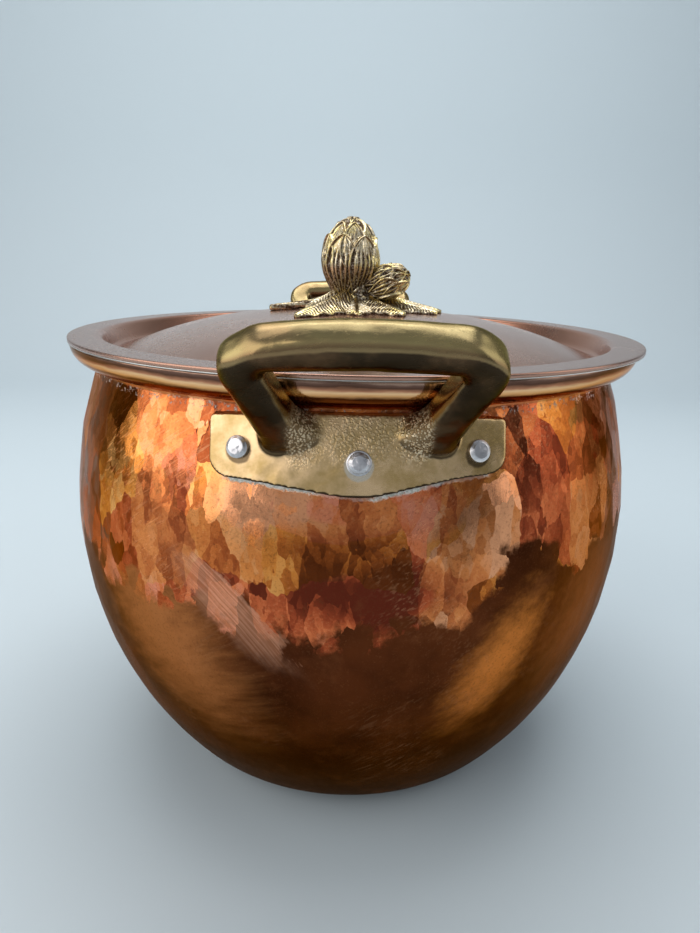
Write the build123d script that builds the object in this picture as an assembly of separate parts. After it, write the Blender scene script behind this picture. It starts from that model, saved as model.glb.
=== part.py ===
from build123d import *
from math import asin, cos, radians, sin, sqrt, tan
import os

# A lidded, tin-lined copper stockpot with two cast brass handles and a cast bud finial.
# Millimetres, +Z up. The origin is on the pot's axis at its flat base, and a handle faces -Y and +Y.

# Vessel, all measured on its outer surface
rim_radius = 127.5
rim_curve = 9.5
lip_height = 198.2
belly_swell = 2.5
belly_drop = 77.2
side_curve = 180.0
base_corner_curve = 30.0
neck_curve = 2.0
wall = 2.0
tin = 0.3
belly_radius = rim_radius + belly_swell
belly_height = lip_height - belly_drop

# Lid, all measured on its upper surface. The channel hangs inside the pot's neck.
lid_overhang = 1.7
lid_sheet = 1.5
lid_shift = 1.2
channel_inset = 4.88
channel_depth = 8.58
channel_curve = 3.0
crown_curve = 427.0
crown_reach = 60.0
shoulder_curve = 180.0
skirt_angle = 70.0
flange_curve = 2.5
lid_radius = rim_radius + lid_overhang

# Handle plates, each height taken from the lip
plate_thickness = 3.5
plate_width = 97.6
plate_top = lip_height - 11.7
plate_shoulder = lip_height - 14.2
plate_corner_height = lip_height - 32.8
plate_waist_height = lip_height - 35.2
plate_tip_height = lip_height - 37.4
plate_corner_curve = 6.0

# Handle loops, measured along the middle of the bar
grip_reach = rim_radius + 19.9
grip_height = lip_height + 12.3
grip_rise = 1.2
grip_span = 72.8
grip_bend = 8.0
grip_arch_curve = 300.0
bar_width = 13.2
bar_depth = 12.6
bar_corner_curve = 5.2
foot_span = 48.4
foot_height = lip_height - 18.7
foot_flare = 5.0
foot_flare_length = 12.0

# Rivets
rivet_shank_radius = 2.4
rivet_head_radius = 3.6
rivet_head_height = 2.4
rivet_dome_height = 1.1
rivet_collar_radius = 4.1
rivet_collar_height = 0.9
inner_head_radius = 5.0
inner_head_height = 1.6
inner_dome_height = 1.1
seat_sink = 0.3
side_rivet_angle = 18.0
side_rivet_height = lip_height - 24.4
centre_rivet_height = lip_height - 27.1

# Finial casting, placed from the lid's axis
mound_radius = 17.0
mound_height = 10.0
trunk_radius = 7.6
bud_radius = 13.7
bud_height = 37.65
bud_base = 5.4
bud_offset = -3.6
bud_lean = 3.0
side_bud_radius = 7.9
side_bud_height = 22.5
side_bud_base = 7.6
side_bud_offset = 5.6
side_bud_forward = 3.5
side_bud_lean = 64.0
bract_step = 0.8
stem_length = 41.6
stem_tip_radius = 1.4
stem_root_radius = 3.2
stem_tip_rise = 1.4
stem_root_rise = 4.6
leaf_edge = 0.9

# Fastening of the finial through the lid
screw_radius = 2.5
screw_depth = 12.0
screw_head_radius = 4.8
screw_head_height = 3.0
screw_dome_height = 1.6
slot_width = 1.2
slot_depth = 1.3
washer_radius = 8.0
washer_thickness = 1.2
screw_hole_clearance = 0.25


def at(radius, height):
    return Vector(radius, 0, height)


def toward(centre, target, distance):
    return centre + (target - centre).normalized() * distance


def arc_about(centre, start, end):
    middle = toward(centre, centre + (start - centre) + (end - centre), (start - centre).length)
    return ThreePointArc(start, middle, end)


def meeting_point(first, first_radius, second, second_radius):
    # Where two circles in the profile plane meet, on the right of the line from first to second.
    span = (second - first).length
    along = (first_radius**2 - second_radius**2 + span**2) / (2 * span)
    aside = sqrt(first_radius**2 - along**2)
    direction = (second - first).normalized()
    right = Vector(direction.Z, 0, -direction.X)
    return first + direction * along + right * aside


def turned(edges):
    return revolve(make_face(edges), Axis.Z)


# Centres of the vessel's arcs in its profile
side_centre = at(belly_radius - side_curve, belly_height)
rim_centre = at(rim_radius - rim_curve, lip_height)
corner_drop = belly_height - base_corner_curve
corner_reach = sqrt((side_curve - base_corner_curve)**2 - corner_drop**2)
corner_centre = at(side_centre.X + corner_reach, base_corner_curve)
neck_centre = meeting_point(side_centre, side_curve + neck_curve, rim_centre, rim_curve + neck_curve)


def vessel_edges(depth):
    # The profile from the axis to the lip, a given depth inside the outer surface.
    floor_end = at(corner_centre.X, depth)
    side_start = toward(side_centre, corner_centre, side_curve - depth)
    side_end = toward(side_centre, neck_centre, side_curve - depth)
    rim_start = toward(rim_centre, neck_centre, rim_curve - depth)
    lip = at(rim_radius - depth, lip_height)
    return [
        Line(at(0, depth), floor_end),
        arc_about(corner_centre, floor_end, side_start),
        arc_about(side_centre, side_start, side_end),
        arc_about(neck_centre, side_end, rim_start),
        arc_about(rim_centre, rim_start, lip),
    ]


def make_pot_body():
    edges = vessel_edges(0) + vessel_edges(wall)
    edges.append(Line(at(rim_radius, lip_height), at(rim_radius - wall, lip_height)))
    edges.append(Line(at(0, 0), at(0, wall)))
    return turned(edges)


def solid_vessel():
    # The vessel's outer form with nothing hollowed out.
    edges = vessel_edges(0)
    edges.append(Line(at(rim_radius, lip_height), at(0, lip_height)))
    edges.append(Line(at(0, lip_height), at(0, 0)))
    return turned(edges)


def make_pot_lining():
    # The tin covers the inside and runs out over the lip.
    depth = wall + tin
    lip_top = lip_height + tin
    edges = vessel_edges(wall) + vessel_edges(depth)
    edges.append(Line(at(0, wall), at(0, depth)))
    edges.append(Line(at(rim_radius - wall, lip_height), at(rim_radius, lip_height)))
    edges.append(Line(at(rim_radius, lip_height), at(rim_radius, lip_top)))
    edges.append(Line(at(rim_radius, lip_top), at(rim_radius - depth, lip_top)))
    edges.append(Line(at(rim_radius - depth, lip_top), at(rim_radius - depth, lip_height)))
    return turned(edges)


# Centres of the lid's arcs in its profile, from the channel inwards to the crown and outwards to the flange
flange_height = lip_height + tin + tin + lid_sheet
neck_inside = neck_centre.X - neck_curve - wall - tin
channel_centre = at(neck_inside - channel_inset, flange_height - channel_depth + channel_curve)
crown_end_angle = asin(crown_reach / crown_curve)
crown_end_way = at(sin(crown_end_angle), cos(crown_end_angle))
shoulder_reach = (crown_curve - shoulder_curve) * crown_end_way.X
channel_run = channel_centre.X - shoulder_reach
channel_rise = sqrt((shoulder_curve + channel_curve)**2 - channel_run**2)
shoulder_centre = at(shoulder_reach, channel_centre.Z - channel_rise)
crown_centre = shoulder_centre - crown_end_way * (crown_curve - shoulder_curve)
crown_end = crown_centre + crown_end_way * crown_curve
dome_height = crown_centre.Z + crown_curve
skirt_normal = at(sin(radians(skirt_angle)), -cos(radians(skirt_angle)))
flange_drop = flange_height - flange_curve
skirt_rise = flange_drop - channel_centre.Z - (channel_curve + flange_curve) * skirt_normal.Z
skirt_run = skirt_rise / tan(radians(skirt_angle))
flange_reach = channel_centre.X + (channel_curve + flange_curve) * skirt_normal.X + skirt_run
flange_centre = at(flange_reach, flange_drop)


def lid_edges(depth):
    # The profile from the axis to the edge of the flange, a given depth below the upper surface.
    apex = at(0, dome_height - depth)
    shoulder_start = toward(crown_centre, crown_end, crown_curve - depth)
    shoulder_end = toward(shoulder_centre, channel_centre, shoulder_curve - depth)
    skirt_start = channel_centre + skirt_normal * (channel_curve + depth)
    skirt_end = flange_centre - skirt_normal * (flange_curve - depth)
    flange_start = at(flange_centre.X, flange_height - depth)
    return [
        arc_about(crown_centre, apex, shoulder_start),
        arc_about(shoulder_centre, shoulder_start, shoulder_end),
        arc_about(channel_centre, shoulder_end, skirt_start),
        Line(skirt_start, skirt_end),
        arc_about(flange_centre, skirt_end, flange_start),
        Line(flange_start, at(lid_radius, flange_height - depth)),
    ]


def lid_layer(upper, lower):
    edges = lid_edges(upper) + lid_edges(lower)
    edges.append(Line(at(0, dome_height - upper), at(0, dome_height - lower)))
    edges.append(Line(at(lid_radius, flange_height - upper), at(lid_radius, flange_height - lower)))
    return turned(edges)


def wall_place(angle, height):
    # A place on the vessel's outer surface, with its Z axis along the outward normal.
    lift = asin((height - belly_height) / side_curve)
    radius = side_centre.X + side_curve * cos(lift)
    turn = radians(angle)
    outward = Vector(cos(lift) * sin(turn), -cos(lift) * cos(turn), sin(lift))
    origin = Vector(radius * sin(turn), -radius * cos(turn), height)
    return Plane(origin=origin, x_dir=(cos(turn), sin(turn), 0), z_dir=outward)


def plate_outline():
    # Half of the plate's outline from its top centre to its tip, then mirrored.
    side = plate_width / 2
    corner = side - plate_corner_curve
    corner_centre_height = plate_corner_height + plate_corner_curve
    waist = at(plate_width * 0.135, plate_waist_height)
    shoulder = at(foot_span / 2, plate_top)
    top_corner = at(side - 1.5, plate_shoulder)
    side_top = at(side, plate_shoulder - 1.5)
    side_bottom = at(side, corner_centre_height)
    corner_end = at(corner, plate_corner_height)
    half = [
        Line(at(0, plate_top), shoulder),
        Line(shoulder, top_corner),
        arc_about(at(side - 1.5, plate_shoulder - 1.5), top_corner, side_top),
        Line(side_top, side_bottom),
        arc_about(at(corner, corner_centre_height), side_bottom, corner_end),
        Spline([corner_end, waist, at(0, plate_tip_height)], tangents=[(-1, 0, 0), (-1, 0, 0)]),
    ]
    return half + [mirror(edge, Plane.YZ) for edge in half]


def make_plate():
    low = asin((plate_tip_height - 5 - belly_height) / side_curve)
    high = asin((plate_top + 5 - belly_height) / side_curve)
    inner_low = side_centre + at(cos(low), sin(low)) * (side_curve - wall)
    inner_high = side_centre + at(cos(high), sin(high)) * (side_curve - wall)
    outer_low = toward(side_centre, inner_low, side_curve + plate_thickness)
    outer_high = toward(side_centre, inner_high, side_curve + plate_thickness)
    band = turned([
        arc_about(side_centre, inner_low, inner_high),
        Line(inner_high, outer_high),
        arc_about(side_centre, outer_high, outer_low),
        Line(outer_low, inner_low),
    ])
    outline = extrude(make_face(plate_outline()), 2 * belly_radius, dir=(0, -1, 0))
    return band & outline


def make_loop():
    # The bar runs up one leg, across the gently arched grip and down the other leg.
    foot_radius = wall_place(0, foot_height).origin.Y - plate_thickness / 2
    half_foot = foot_span / 2
    half_grip = grip_span / 2
    points = [
        Vector(-half_foot, foot_radius, foot_height),
        Vector(-half_grip, -grip_reach, grip_height),
        Vector(0, -grip_reach, grip_height + grip_rise),
        Vector(half_grip, -grip_reach, grip_height),
        Vector(half_foot, foot_radius, foot_height),
    ]
    path = FilletPolyline(*points, radius=[grip_bend, grip_arch_curve, grip_bend])
    way = (points[1] - points[0]).normalized()
    start = Plane(origin=points[0], x_dir=(1, 0, 0), z_dir=way)
    flare_end = Plane(origin=points[0] + way * foot_flare_length, x_dir=(1, 0, 0), z_dir=way)
    section = RectangleRounded(bar_width, bar_depth, bar_corner_curve)
    wide_section = RectangleRounded(bar_width + foot_flare, bar_depth, bar_corner_curve)
    foot = loft([start * Pos(foot_flare / 2, 0, 0) * wide_section, flare_end * section])
    return sweep(start * section, path) + foot + mirror(foot, Plane.YZ)


def rivet_holes():
    spots = [(-side_rivet_angle, side_rivet_height), (side_rivet_angle, side_rivet_height)]
    spots.append((0, centre_rivet_height))
    drill_length = 4 * (plate_thickness + wall + tin)
    holes = [wall_place(*spot) * Cylinder(rivet_shank_radius, drill_length) for spot in spots]
    return Part() + holes


def domed_button(radius, side_end, dome_end, seat):
    # A round button along the axis: a flat seat, a straight side and a spherical dome.
    rise = dome_end - side_end
    curve = (radius**2 + rise**2) / (2 * rise)
    dome_centre = at(0, dome_end - curve)
    return turned([
        arc_about(dome_centre, at(0, dome_end), at(radius, side_end)),
        Line(at(radius, side_end), at(radius, seat)),
        Line(at(radius, seat), at(0, seat)),
        Line(at(0, seat), at(0, dome_end)),
    ])


def outer_head():
    top = plate_thickness + rivet_head_height
    return domed_button(rivet_head_radius, top - rivet_dome_height, top, plate_thickness - seat_sink)


def head_collar():
    middle = plate_thickness + (rivet_collar_height - seat_sink) / 2
    return Pos(0, 0, middle) * Cylinder(rivet_collar_radius, rivet_collar_height + seat_sink)


def inner_head():
    inside = wall + tin
    side = inside + inner_head_height - inner_dome_height
    button = domed_button(inner_head_radius, side, inside + inner_head_height, inside - seat_sink)
    return Rot(180, 0, 0) * button


def make_rivet(place, outside, plate, pot_wall):
    # The heads are cut where they meet the plate and the lining, so that they seat on their curves.
    shank_length = plate_thickness + rivet_collar_height / 2 + wall + tin + inner_head_height / 2
    shank_middle = plate_thickness + rivet_collar_height / 2 - shank_length / 2
    shank = place * Pos(0, 0, shank_middle) * Cylinder(rivet_shank_radius, shank_length)
    return (place * outside - plate) + shank + (place * inner_head() - pot_wall)


def bud_profile(radius, height):
    neck = at(radius * 0.42, 0)
    belly = at(radius, height * 0.45)
    tip = at(0, height)
    return Spline([neck, belly, tip], tangents=[(0.75, 0, 1), (-1, 0, 0)])


def bud_skin(radius, height):
    return turned([
        bud_profile(radius, height),
        Line(at(0, height), at(0, 0)),
        Line(at(0, 0), at(radius * 0.42, 0)),
    ])


def make_bud(radius, height):
    # Three rows of pointed bracts, each row standing a step proud of the one above it.
    # A row has its count, its turn, and its foot, widest point, tip and width as shares of the bud.
    rows = [
        (4, 45.0, 0.42, 0.72, 0.97, 1.20, 1),
        (5, 18.0, 0.20, 0.56, 0.86, 1.10, 2),
        (5, -18.0, 0.00, 0.40, 0.70, 1.12, 3),
    ]
    bud = bud_skin(radius - 3 * bract_step, height - 2 * bract_step)
    for count, turn, foot, widest, tip, width, step in rows:
        skin = bud_skin(radius - (3 - step) * bract_step, height - (3 - step) * bract_step)
        low = at(0, foot * height)
        side = at(width * radius / 2, widest * height)
        high = at(0, tip * height)
        outline = [ThreePointArc(low, side, high), ThreePointArc(low, at(-side.X, side.Z), high)]
        prism = extrude(make_face(outline), radius + 5, dir=(0, -1, 0))
        bract = skin & prism
        for number in range(count):
            bud += Rot(0, 0, turn + number * 360 / count) * bract
    return bud


def make_leaf(length, width, root_lift):
    # A crowned leaf along +X whose edge lies just above the dome and whose root climbs the mound.
    # A station has its share of the length, of the half width, and of the crown.
    stations = [
        (0.14, 0.55, 1.0),
        (0.40, 1.0, 0.62),
        (0.68, 0.78, 0.34),
        (0.88, 0.40, 0.2),
        (1.0, 0.05, 0.12),
    ]
    sections = []
    for share, spread, crown in stations:
        run = share * length
        half = spread * width / 2
        edge = crown_centre.Z + sqrt(crown_curve**2 - run**2 - half**2) + leaf_edge
        middle = edge + crown * root_lift
        outline = [
            ThreePointArc((run, -half, edge), (run, 0, middle), (run, half, edge)),
            Line((run, half, edge), (run, half, edge - 4)),
            Line((run, half, edge - 4), (run, -half, edge - 4)),
            Line((run, -half, edge - 4), (run, -half, edge)),
        ]
        sections.append(make_face(outline))
    return loft(sections)


def make_finial():
    # Buds, leaves and stem are one casting, cut underneath to the curve of the lid.
    base = dome_height
    mound = turned([
        Line(at(0, base - 4), at(mound_radius, base - 4)),
        Line(at(mound_radius, base - 4), at(mound_radius, base + 0.6)),
        Spline([at(mound_radius, base + 0.6), at(trunk_radius, base + mound_height)],
               tangents=[(-1, 0, 0.35), (-0.15, 0, 1)]),
        Line(at(trunk_radius, base + mound_height), at(0, base + mound_height)),
        Line(at(0, base + mound_height), at(0, base - 4)),
    ])
    # A leaf has its heading, length, width and the height of its root over the dome.
    leaves = [
        (-130.0, 43.5, 23.0, 8.5),
        (-74.0, 31.5, 22.0, 6.0),
        (4.0, 41.5, 21.0, 8.0),
        (72.0, 34.0, 22.0, 6.5),
        (136.0, 40.0, 22.0, 7.5),
    ]
    finial = mound
    for heading, length, width, root_lift in leaves:
        finial += Rot(0, 0, heading) * make_leaf(length, width, root_lift)
    stem_tip = Vector(-stem_length, 0, base - 2 + stem_tip_rise)
    stem_root = Vector(-trunk_radius, 0, base + stem_root_rise)
    stem_way = stem_root - stem_tip
    stem = Plane(origin=stem_tip, z_dir=stem_way) * Pos(0, 0, stem_way.length / 2)
    finial += stem * Cone(stem_tip_radius, stem_root_radius, stem_way.length)
    bud_place = Pos(bud_offset, 0, base + bud_base) * Rot(0, bud_lean, 0)
    finial += bud_place * make_bud(bud_radius, bud_height)
    side_place = Pos(side_bud_offset, -side_bud_forward, base + side_bud_base) * Rot(12, side_bud_lean, 0)
    finial += side_place * make_bud(side_bud_radius, side_bud_height)
    under = turned([
        *lid_edges(0)[:2],
        Line(lid_edges(0)[1] @ 1, at((lid_edges(0)[1] @ 1).X, 0)),
        Line(at((lid_edges(0)[1] @ 1).X, 0), at(0, 0)),
        Line(at(0, 0), at(0, dome_height)),
    ])
    return finial - under


def below_dome(depth, radius):
    # Height of the dome's surface at a radius, a given depth below the upper surface.
    return crown_centre.Z + sqrt((crown_curve - depth)**2 - radius**2)


def make_washer():
    seat = below_dome(lid_sheet + tin, washer_radius)
    ring = Cylinder(washer_radius, washer_thickness) - Cylinder(screw_radius, washer_thickness)
    return Pos(0, 0, seat - washer_thickness / 2) * ring


def make_screw():
    seat = below_dome(lid_sheet + tin, washer_radius) - washer_thickness
    shank_end = dome_height + screw_depth
    shank = Pos(0, 0, (seat + shank_end) / 2) * Cylinder(screw_radius, shank_end - seat)
    head = domed_button(screw_head_radius, screw_head_height - screw_dome_height, screw_head_height, 0)
    slot = Pos(0, 0, screw_head_height) * Box(3 * screw_head_radius, slot_width, 2 * slot_depth)
    return shank + Pos(0, 0, seat) * Rot(180, 0, 0) * (head - slot)


def make_parts():
    holes = rivet_holes()
    all_holes = holes + Rot(0, 0, 180) * holes
    pot_body = make_pot_body()
    pot_lining = make_pot_lining()
    vessel = solid_vessel()
    plate = make_plate() - vessel
    handle = plate + (make_loop() - vessel) - holes
    pot_wall = pot_body + pot_lining
    side_rivets = Part() + [
        make_rivet(wall_place(angle, side_rivet_height), outer_head(), plate, pot_wall)
        for angle in (-side_rivet_angle, side_rivet_angle)
    ]
    centre_head = outer_head() + head_collar()
    centre_rivet = make_rivet(wall_place(0, centre_rivet_height), centre_head, plate, pot_wall)
    pot_body -= all_holes
    pot_lining -= all_holes
    screw = make_screw()
    hole = Cylinder(screw_radius + screw_hole_clearance, 3 * dome_height)
    lid_shell = lid_layer(0, lid_sheet) - hole
    lid_lining = lid_layer(lid_sheet, lid_sheet + tin) - hole
    finial = make_finial() - screw
    on_lid = Pos(lid_shift, 0, 0)
    to_rear = Rot(0, 0, 180)
    return {
        "pot_body": pot_body,
        "pot_tin_lining": pot_lining,
        "front_handle": handle,
        "front_side_rivets": side_rivets,
        "front_centre_rivet": centre_rivet,
        "rear_handle": to_rear * handle,
        "rear_side_rivets": to_rear * side_rivets,
        "rear_centre_rivet": to_rear * centre_rivet,
        "lid_shell": on_lid * lid_shell,
        "lid_tin_lining": on_lid * lid_lining,
        "finial": on_lid * finial,
        "finial_washer": on_lid * make_washer(),
        "finial_screw": on_lid * screw,
    }


os.makedirs("parts", exist_ok=True)
for name, solid in make_parts().items():
    export_step(solid, f"parts/{name}.step")
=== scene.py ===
import math

import bpy
import numpy as np
from mathutils import Matrix, Vector


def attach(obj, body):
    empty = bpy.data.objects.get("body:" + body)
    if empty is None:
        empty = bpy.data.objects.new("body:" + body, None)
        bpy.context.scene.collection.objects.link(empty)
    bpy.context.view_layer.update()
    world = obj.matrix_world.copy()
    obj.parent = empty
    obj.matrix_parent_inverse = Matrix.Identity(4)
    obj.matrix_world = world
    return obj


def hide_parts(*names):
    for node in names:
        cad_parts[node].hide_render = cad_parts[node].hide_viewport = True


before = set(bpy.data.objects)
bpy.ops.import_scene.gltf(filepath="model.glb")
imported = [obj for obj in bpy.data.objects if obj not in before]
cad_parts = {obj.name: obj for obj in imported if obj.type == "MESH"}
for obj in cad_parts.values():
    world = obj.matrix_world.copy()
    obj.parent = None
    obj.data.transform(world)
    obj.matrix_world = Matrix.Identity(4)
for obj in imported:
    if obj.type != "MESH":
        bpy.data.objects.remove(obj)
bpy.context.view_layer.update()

mm = 0.001
print("Frame loaded:", len(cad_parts), "nodes")


# Points and meshes

def pointOn(centre, radius, angle):
    # A point of the profile plane (radius, height) on a circle, with the angle in degrees from +r towards +z.
    turn = math.radians(angle)
    return np.array([centre[0] + radius * math.cos(turn), centre[1] + radius * math.sin(turn)])


def angleOf(centre, point):
    return math.degrees(math.atan2(point[1] - centre[1], point[0] - centre[0]))


def arcPoints(centre, radius, start, stop, count):
    # Profile points along a circle from one angle to the other: centre + radius * (cos, sin).
    turns = np.radians(np.linspace(start, stop, count))
    return np.stack([centre[0] + radius * np.cos(turns), centre[1] + radius * np.sin(turns)], axis=1)


def linePoints(start, stop, count):
    steps = np.linspace(0, 1, count)[:, None]
    return np.asarray(start) * (1 - steps) + np.asarray(stop) * steps


def joinProfile(*runs):
    # Runs of profile points end to end, without the repeated point at each joint.
    kept = [runs[0]]
    for run in runs[1:]:
        repeated = np.linalg.norm(run[0] - kept[-1][-1]) < 1e-7
        kept.append(run[1:] if repeated else run)
    return np.concatenate(kept)


def gridFaces(rows, columns, roundAbout):
    # Quads between neighbouring rows and columns of a grid, the last column meeting the first if it goes round.
    row = np.arange(rows - 1)[:, None]
    column = np.arange(columns if roundAbout else columns - 1)[None, :]
    nextColumn = (column + 1) % columns
    first = row * columns + column
    second = row * columns + nextColumn
    return np.stack([first, second, second + columns, first + columns], axis=-1).reshape(-1, 4)


def turnedFaces(rows, columns):
    # Quads between closed rings, and at each end a fan about one of the two points that follow the rings.
    around, last = np.arange(columns), (rows - 1) * columns
    following = (around + 1) % columns
    faces = gridFaces(rows, columns, True).tolist()
    faces += np.stack([following, around, np.full(columns, rows * columns)], axis=1).tolist()
    faces += np.stack([last + around, last + following, np.full(columns, rows * columns + 1)], axis=1).tolist()
    return faces


def slabFaces(rows, columns):
    # Quads of two sheets of points, the second turned over, and of the edge that joins their borders.
    count = rows * columns
    sheet = gridFaces(rows, columns, False)
    edge = np.concatenate([
        np.arange(columns), np.arange(1, rows) * columns + columns - 1,
        (rows - 1) * columns + np.arange(columns - 2, -1, -1), np.arange(rows - 2, 0, -1) * columns,
    ])
    nextEdge = np.roll(edge, -1)
    sides = np.stack([edge, edge + count, nextEdge + count, nextEdge], axis=1)
    return np.concatenate([sheet, sheet[:, ::-1] + count, sides])


def newPiece(name, vertices, faces, smooth=True):
    mesh = bpy.data.meshes.new(name)
    mesh.from_pydata(vertices.reshape(-1, 3).tolist(), [], [list(face) for face in faces])
    mesh.polygons.foreach_set("use_smooth", np.full(len(mesh.polygons), smooth))
    mesh.update()
    piece = bpy.data.objects.new(name, mesh)
    bpy.context.scene.collection.objects.link(piece)
    return piece


def addAttribute(piece, name, values):
    attribute = piece.data.attributes.new(name, "FLOAT", "POINT")
    attribute.data.foreach_set("value", np.asarray(values, dtype=np.float32).ravel())


def spunPiece(name, profile, columns, centre=(0, 0), push=None):
    # A profile turned about a vertical axis, on which it starts and ends. push(angles, profile) gives how far each
    # point moves along its normal.
    body = profile[1:-1]
    turns = np.linspace(0, 2 * np.pi, columns, endpoint=False)
    radii = np.repeat(body[:, :1], columns, axis=1)
    heights = np.repeat(body[:, 1:], columns, axis=1)
    if push is not None:
        slope = np.gradient(body, axis=0)
        length = np.linalg.norm(slope, axis=1)
        moved = push(turns, body)
        radii = radii + moved * (slope[:, 1] / length)[:, None]
        heights = heights - moved * (slope[:, 0] / length)[:, None]
    x = centre[0] + radii * np.cos(turns)
    y = centre[1] + radii * np.sin(turns)
    rings = np.stack([x, y, heights], axis=-1).reshape(-1, 3)
    ends = np.array([[*centre, profile[0, 1]], [*centre, profile[-1, 1]]])
    return newPiece(name, np.concatenate([rings, ends]), turnedFaces(len(body), columns))


# Materials

class Wire:
    # A node's output that takes part in sums, so that a pattern is written as an expression.
    def __init__(self, paint, socket):
        self.paint = paint
        self.socket = socket

    def __add__(self, other):
        return self.paint.maths("ADD", self, other)

    def __radd__(self, other):
        return self.paint.maths("ADD", other, self)

    def __sub__(self, other):
        return self.paint.maths("SUBTRACT", self, other)

    def __rsub__(self, other):
        return self.paint.maths("SUBTRACT", other, self)

    def __mul__(self, other):
        return self.paint.maths("MULTIPLY", self, other)

    def __rmul__(self, other):
        return self.paint.maths("MULTIPLY", other, self)

    def __truediv__(self, other):
        return self.paint.maths("DIVIDE", self, other)

    def __rtruediv__(self, other):
        return self.paint.maths("DIVIDE", other, self)

    def __pow__(self, other):
        return self.paint.maths("POWER", self, other)


class Paint:
    # The nodes of one material or world. node() makes any node, and the rest are short ways to common ones.
    def __init__(self, owner):
        owner.use_nodes = True
        self.owner = owner
        self.tree = owner.node_tree
        self.tree.nodes.clear()

    def node(self, kind, settings=None, inputs=None, output=0):
        made = self.tree.nodes.new(kind)
        for key, value in (settings or {}).items():
            if key == "stops":
                self.setStops(made.color_ramp, value)
            else:
                setattr(made, key, value)
        for key, value in (inputs or {}).items():
            self.feed(made.inputs[key], value)
        return Wire(self, made.outputs[output]) if len(made.outputs) else made

    def setStops(self, ramp, stops):
        while len(ramp.elements) < len(stops):
            ramp.elements.new(0.5)
        for element, (place, colour) in zip(ramp.elements, stops):
            element.position = place
            element.color = (*colour, 1) if len(colour) == 3 else colour

    def feed(self, socket, value):
        if isinstance(value, Wire):
            self.tree.links.new(value.socket, socket)
        elif isinstance(value, (tuple, list)) and len(value) == 3 and socket.type == "RGBA":
            socket.default_value = (*value, 1)
        else:
            socket.default_value = value

    def maths(self, operation, *values):
        return self.node("ShaderNodeMath", {"operation": operation}, dict(enumerate(values)))

    def clamp(self, value):
        return self.node("ShaderNodeClamp", {}, {"Value": value})

    def ramp(self, value, low, high):
        # 0 up to low, 1 from high on, and a smooth rise between.
        inputs = {"Value": value, "From Min": low, "From Max": high}
        return self.node("ShaderNodeMapRange", {"interpolation_type": "SMOOTHSTEP"}, inputs)

    def place(self):
        return self.node("ShaderNodeTexCoord", {}, {}, "Object")

    def axis(self, place, letter):
        return self.node("ShaderNodeSeparateXYZ", {}, {0: place}, letter)

    def stretched(self, place, scale):
        return self.node("ShaderNodeMapping", {}, {"Vector": place, "Scale": scale})

    def rotated(self, place, turn):
        return self.node("ShaderNodeMapping", {}, {"Vector": place, "Rotation": turn})

    def noise(self, place, scale, detail=3.0, rough=0.5, output=0):
        inputs = {"Vector": place, "Scale": scale, "Detail": detail, "Roughness": rough}
        return self.node("ShaderNodeTexNoise", {}, inputs, output)

    def cells(self, place, scale, output="Distance"):
        return self.node("ShaderNodeTexVoronoi", {}, {"Vector": place, "Scale": scale}, output)

    def vector(self, operation, *values, output="Vector"):
        return self.node("ShaderNodeVectorMath", {"operation": operation}, dict(enumerate(values)), output)

    def scaled(self, vector, factor):
        return self.node("ShaderNodeVectorMath", {"operation": "SCALE"}, {0: vector, "Scale": factor})

    def fromAxis(self, place):
        # The distance of a place from the object's upright axis.
        return self.vector("LENGTH", self.vector("MULTIPLY", place, (1, 1, 0)), output="Value")

    def centred(self, colour, amount):
        # A random colour as a vector of up to half the amount each way.
        return self.scaled(self.vector("SUBTRACT", colour, (0.5, 0.5, 0.5)), amount)

    def wavering(self, place, scale, amount, detail=2.0, rough=0.5):
        # The place, shifted about by up to half the amount each way, so that straight borders wander.
        return self.vector("ADD", place, self.centred(self.noise(place, scale, detail, rough, "Color"), amount))

    def tones(self, value, stops):
        return self.node("ShaderNodeValToRGB", {"stops": stops}, {"Fac": value}, "Color")

    def normal(self):
        return self.node("ShaderNodeNewGeometry", {}, {}, "Normal")

    def attribute(self, name):
        return self.node("ShaderNodeAttribute", {"attribute_name": name}, {}, "Fac")

    def mix(self, factor, first, second, blend="MIX"):
        # Sockets 6 and 7 and output 2 are the colours of this node.
        settings = {"data_type": "RGBA", "blend_type": blend}
        return self.node("ShaderNodeMix", settings, {0: factor, 6: first, 7: second}, 2)

    def bump(self, height, depth, strength=1.0, under=None):
        # Surface relief of a real depth in metres.
        inputs = {"Height": height, "Distance": depth, "Strength": strength}
        if under is not None:
            inputs["Normal"] = under
        return self.node("ShaderNodeBump", {}, inputs)

    def finish(self, **sockets):
        inputs = {key.replace("_", " "): value for key, value in sockets.items()}
        shader = self.node("ShaderNodeBsdfPrincipled", {}, inputs)
        self.node("ShaderNodeOutputMaterial", {}, {"Surface": shader})
        return self.owner


def newPaint(name):
    return Paint(bpy.data.materials.new(name))


# Vessel

vessel = {
    "bellyRadius": 130 * mm,
    "bellyHeight": 121 * mm,
    "sideCurve": 180 * mm,
    "baseCornerCurve": 30 * mm,
    "neckCurve": 2 * mm,
    "rimRadius": 127.5 * mm,
    "rimCurve": 9.5 * mm,
    "lipHeight": 198.2 * mm,
    "lipRounding": 0.45 * mm,
    "wall": 2 * mm,
    "tin": 0.3 * mm,
    "columns": 408,
}


def circlesMeet(first, firstRadius, second, secondRadius):
    # Where two circles of the profile plane meet, on the right of the way from first to second.
    first, second = np.array(first), np.array(second)
    span = np.linalg.norm(second - first)
    along = (firstRadius**2 - secondRadius**2 + span**2) / (2 * span)
    aside = math.sqrt(firstRadius**2 - along**2)
    way = (second - first) / span
    return first + way * along + np.array([way[1], -way[0]]) * aside


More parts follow.
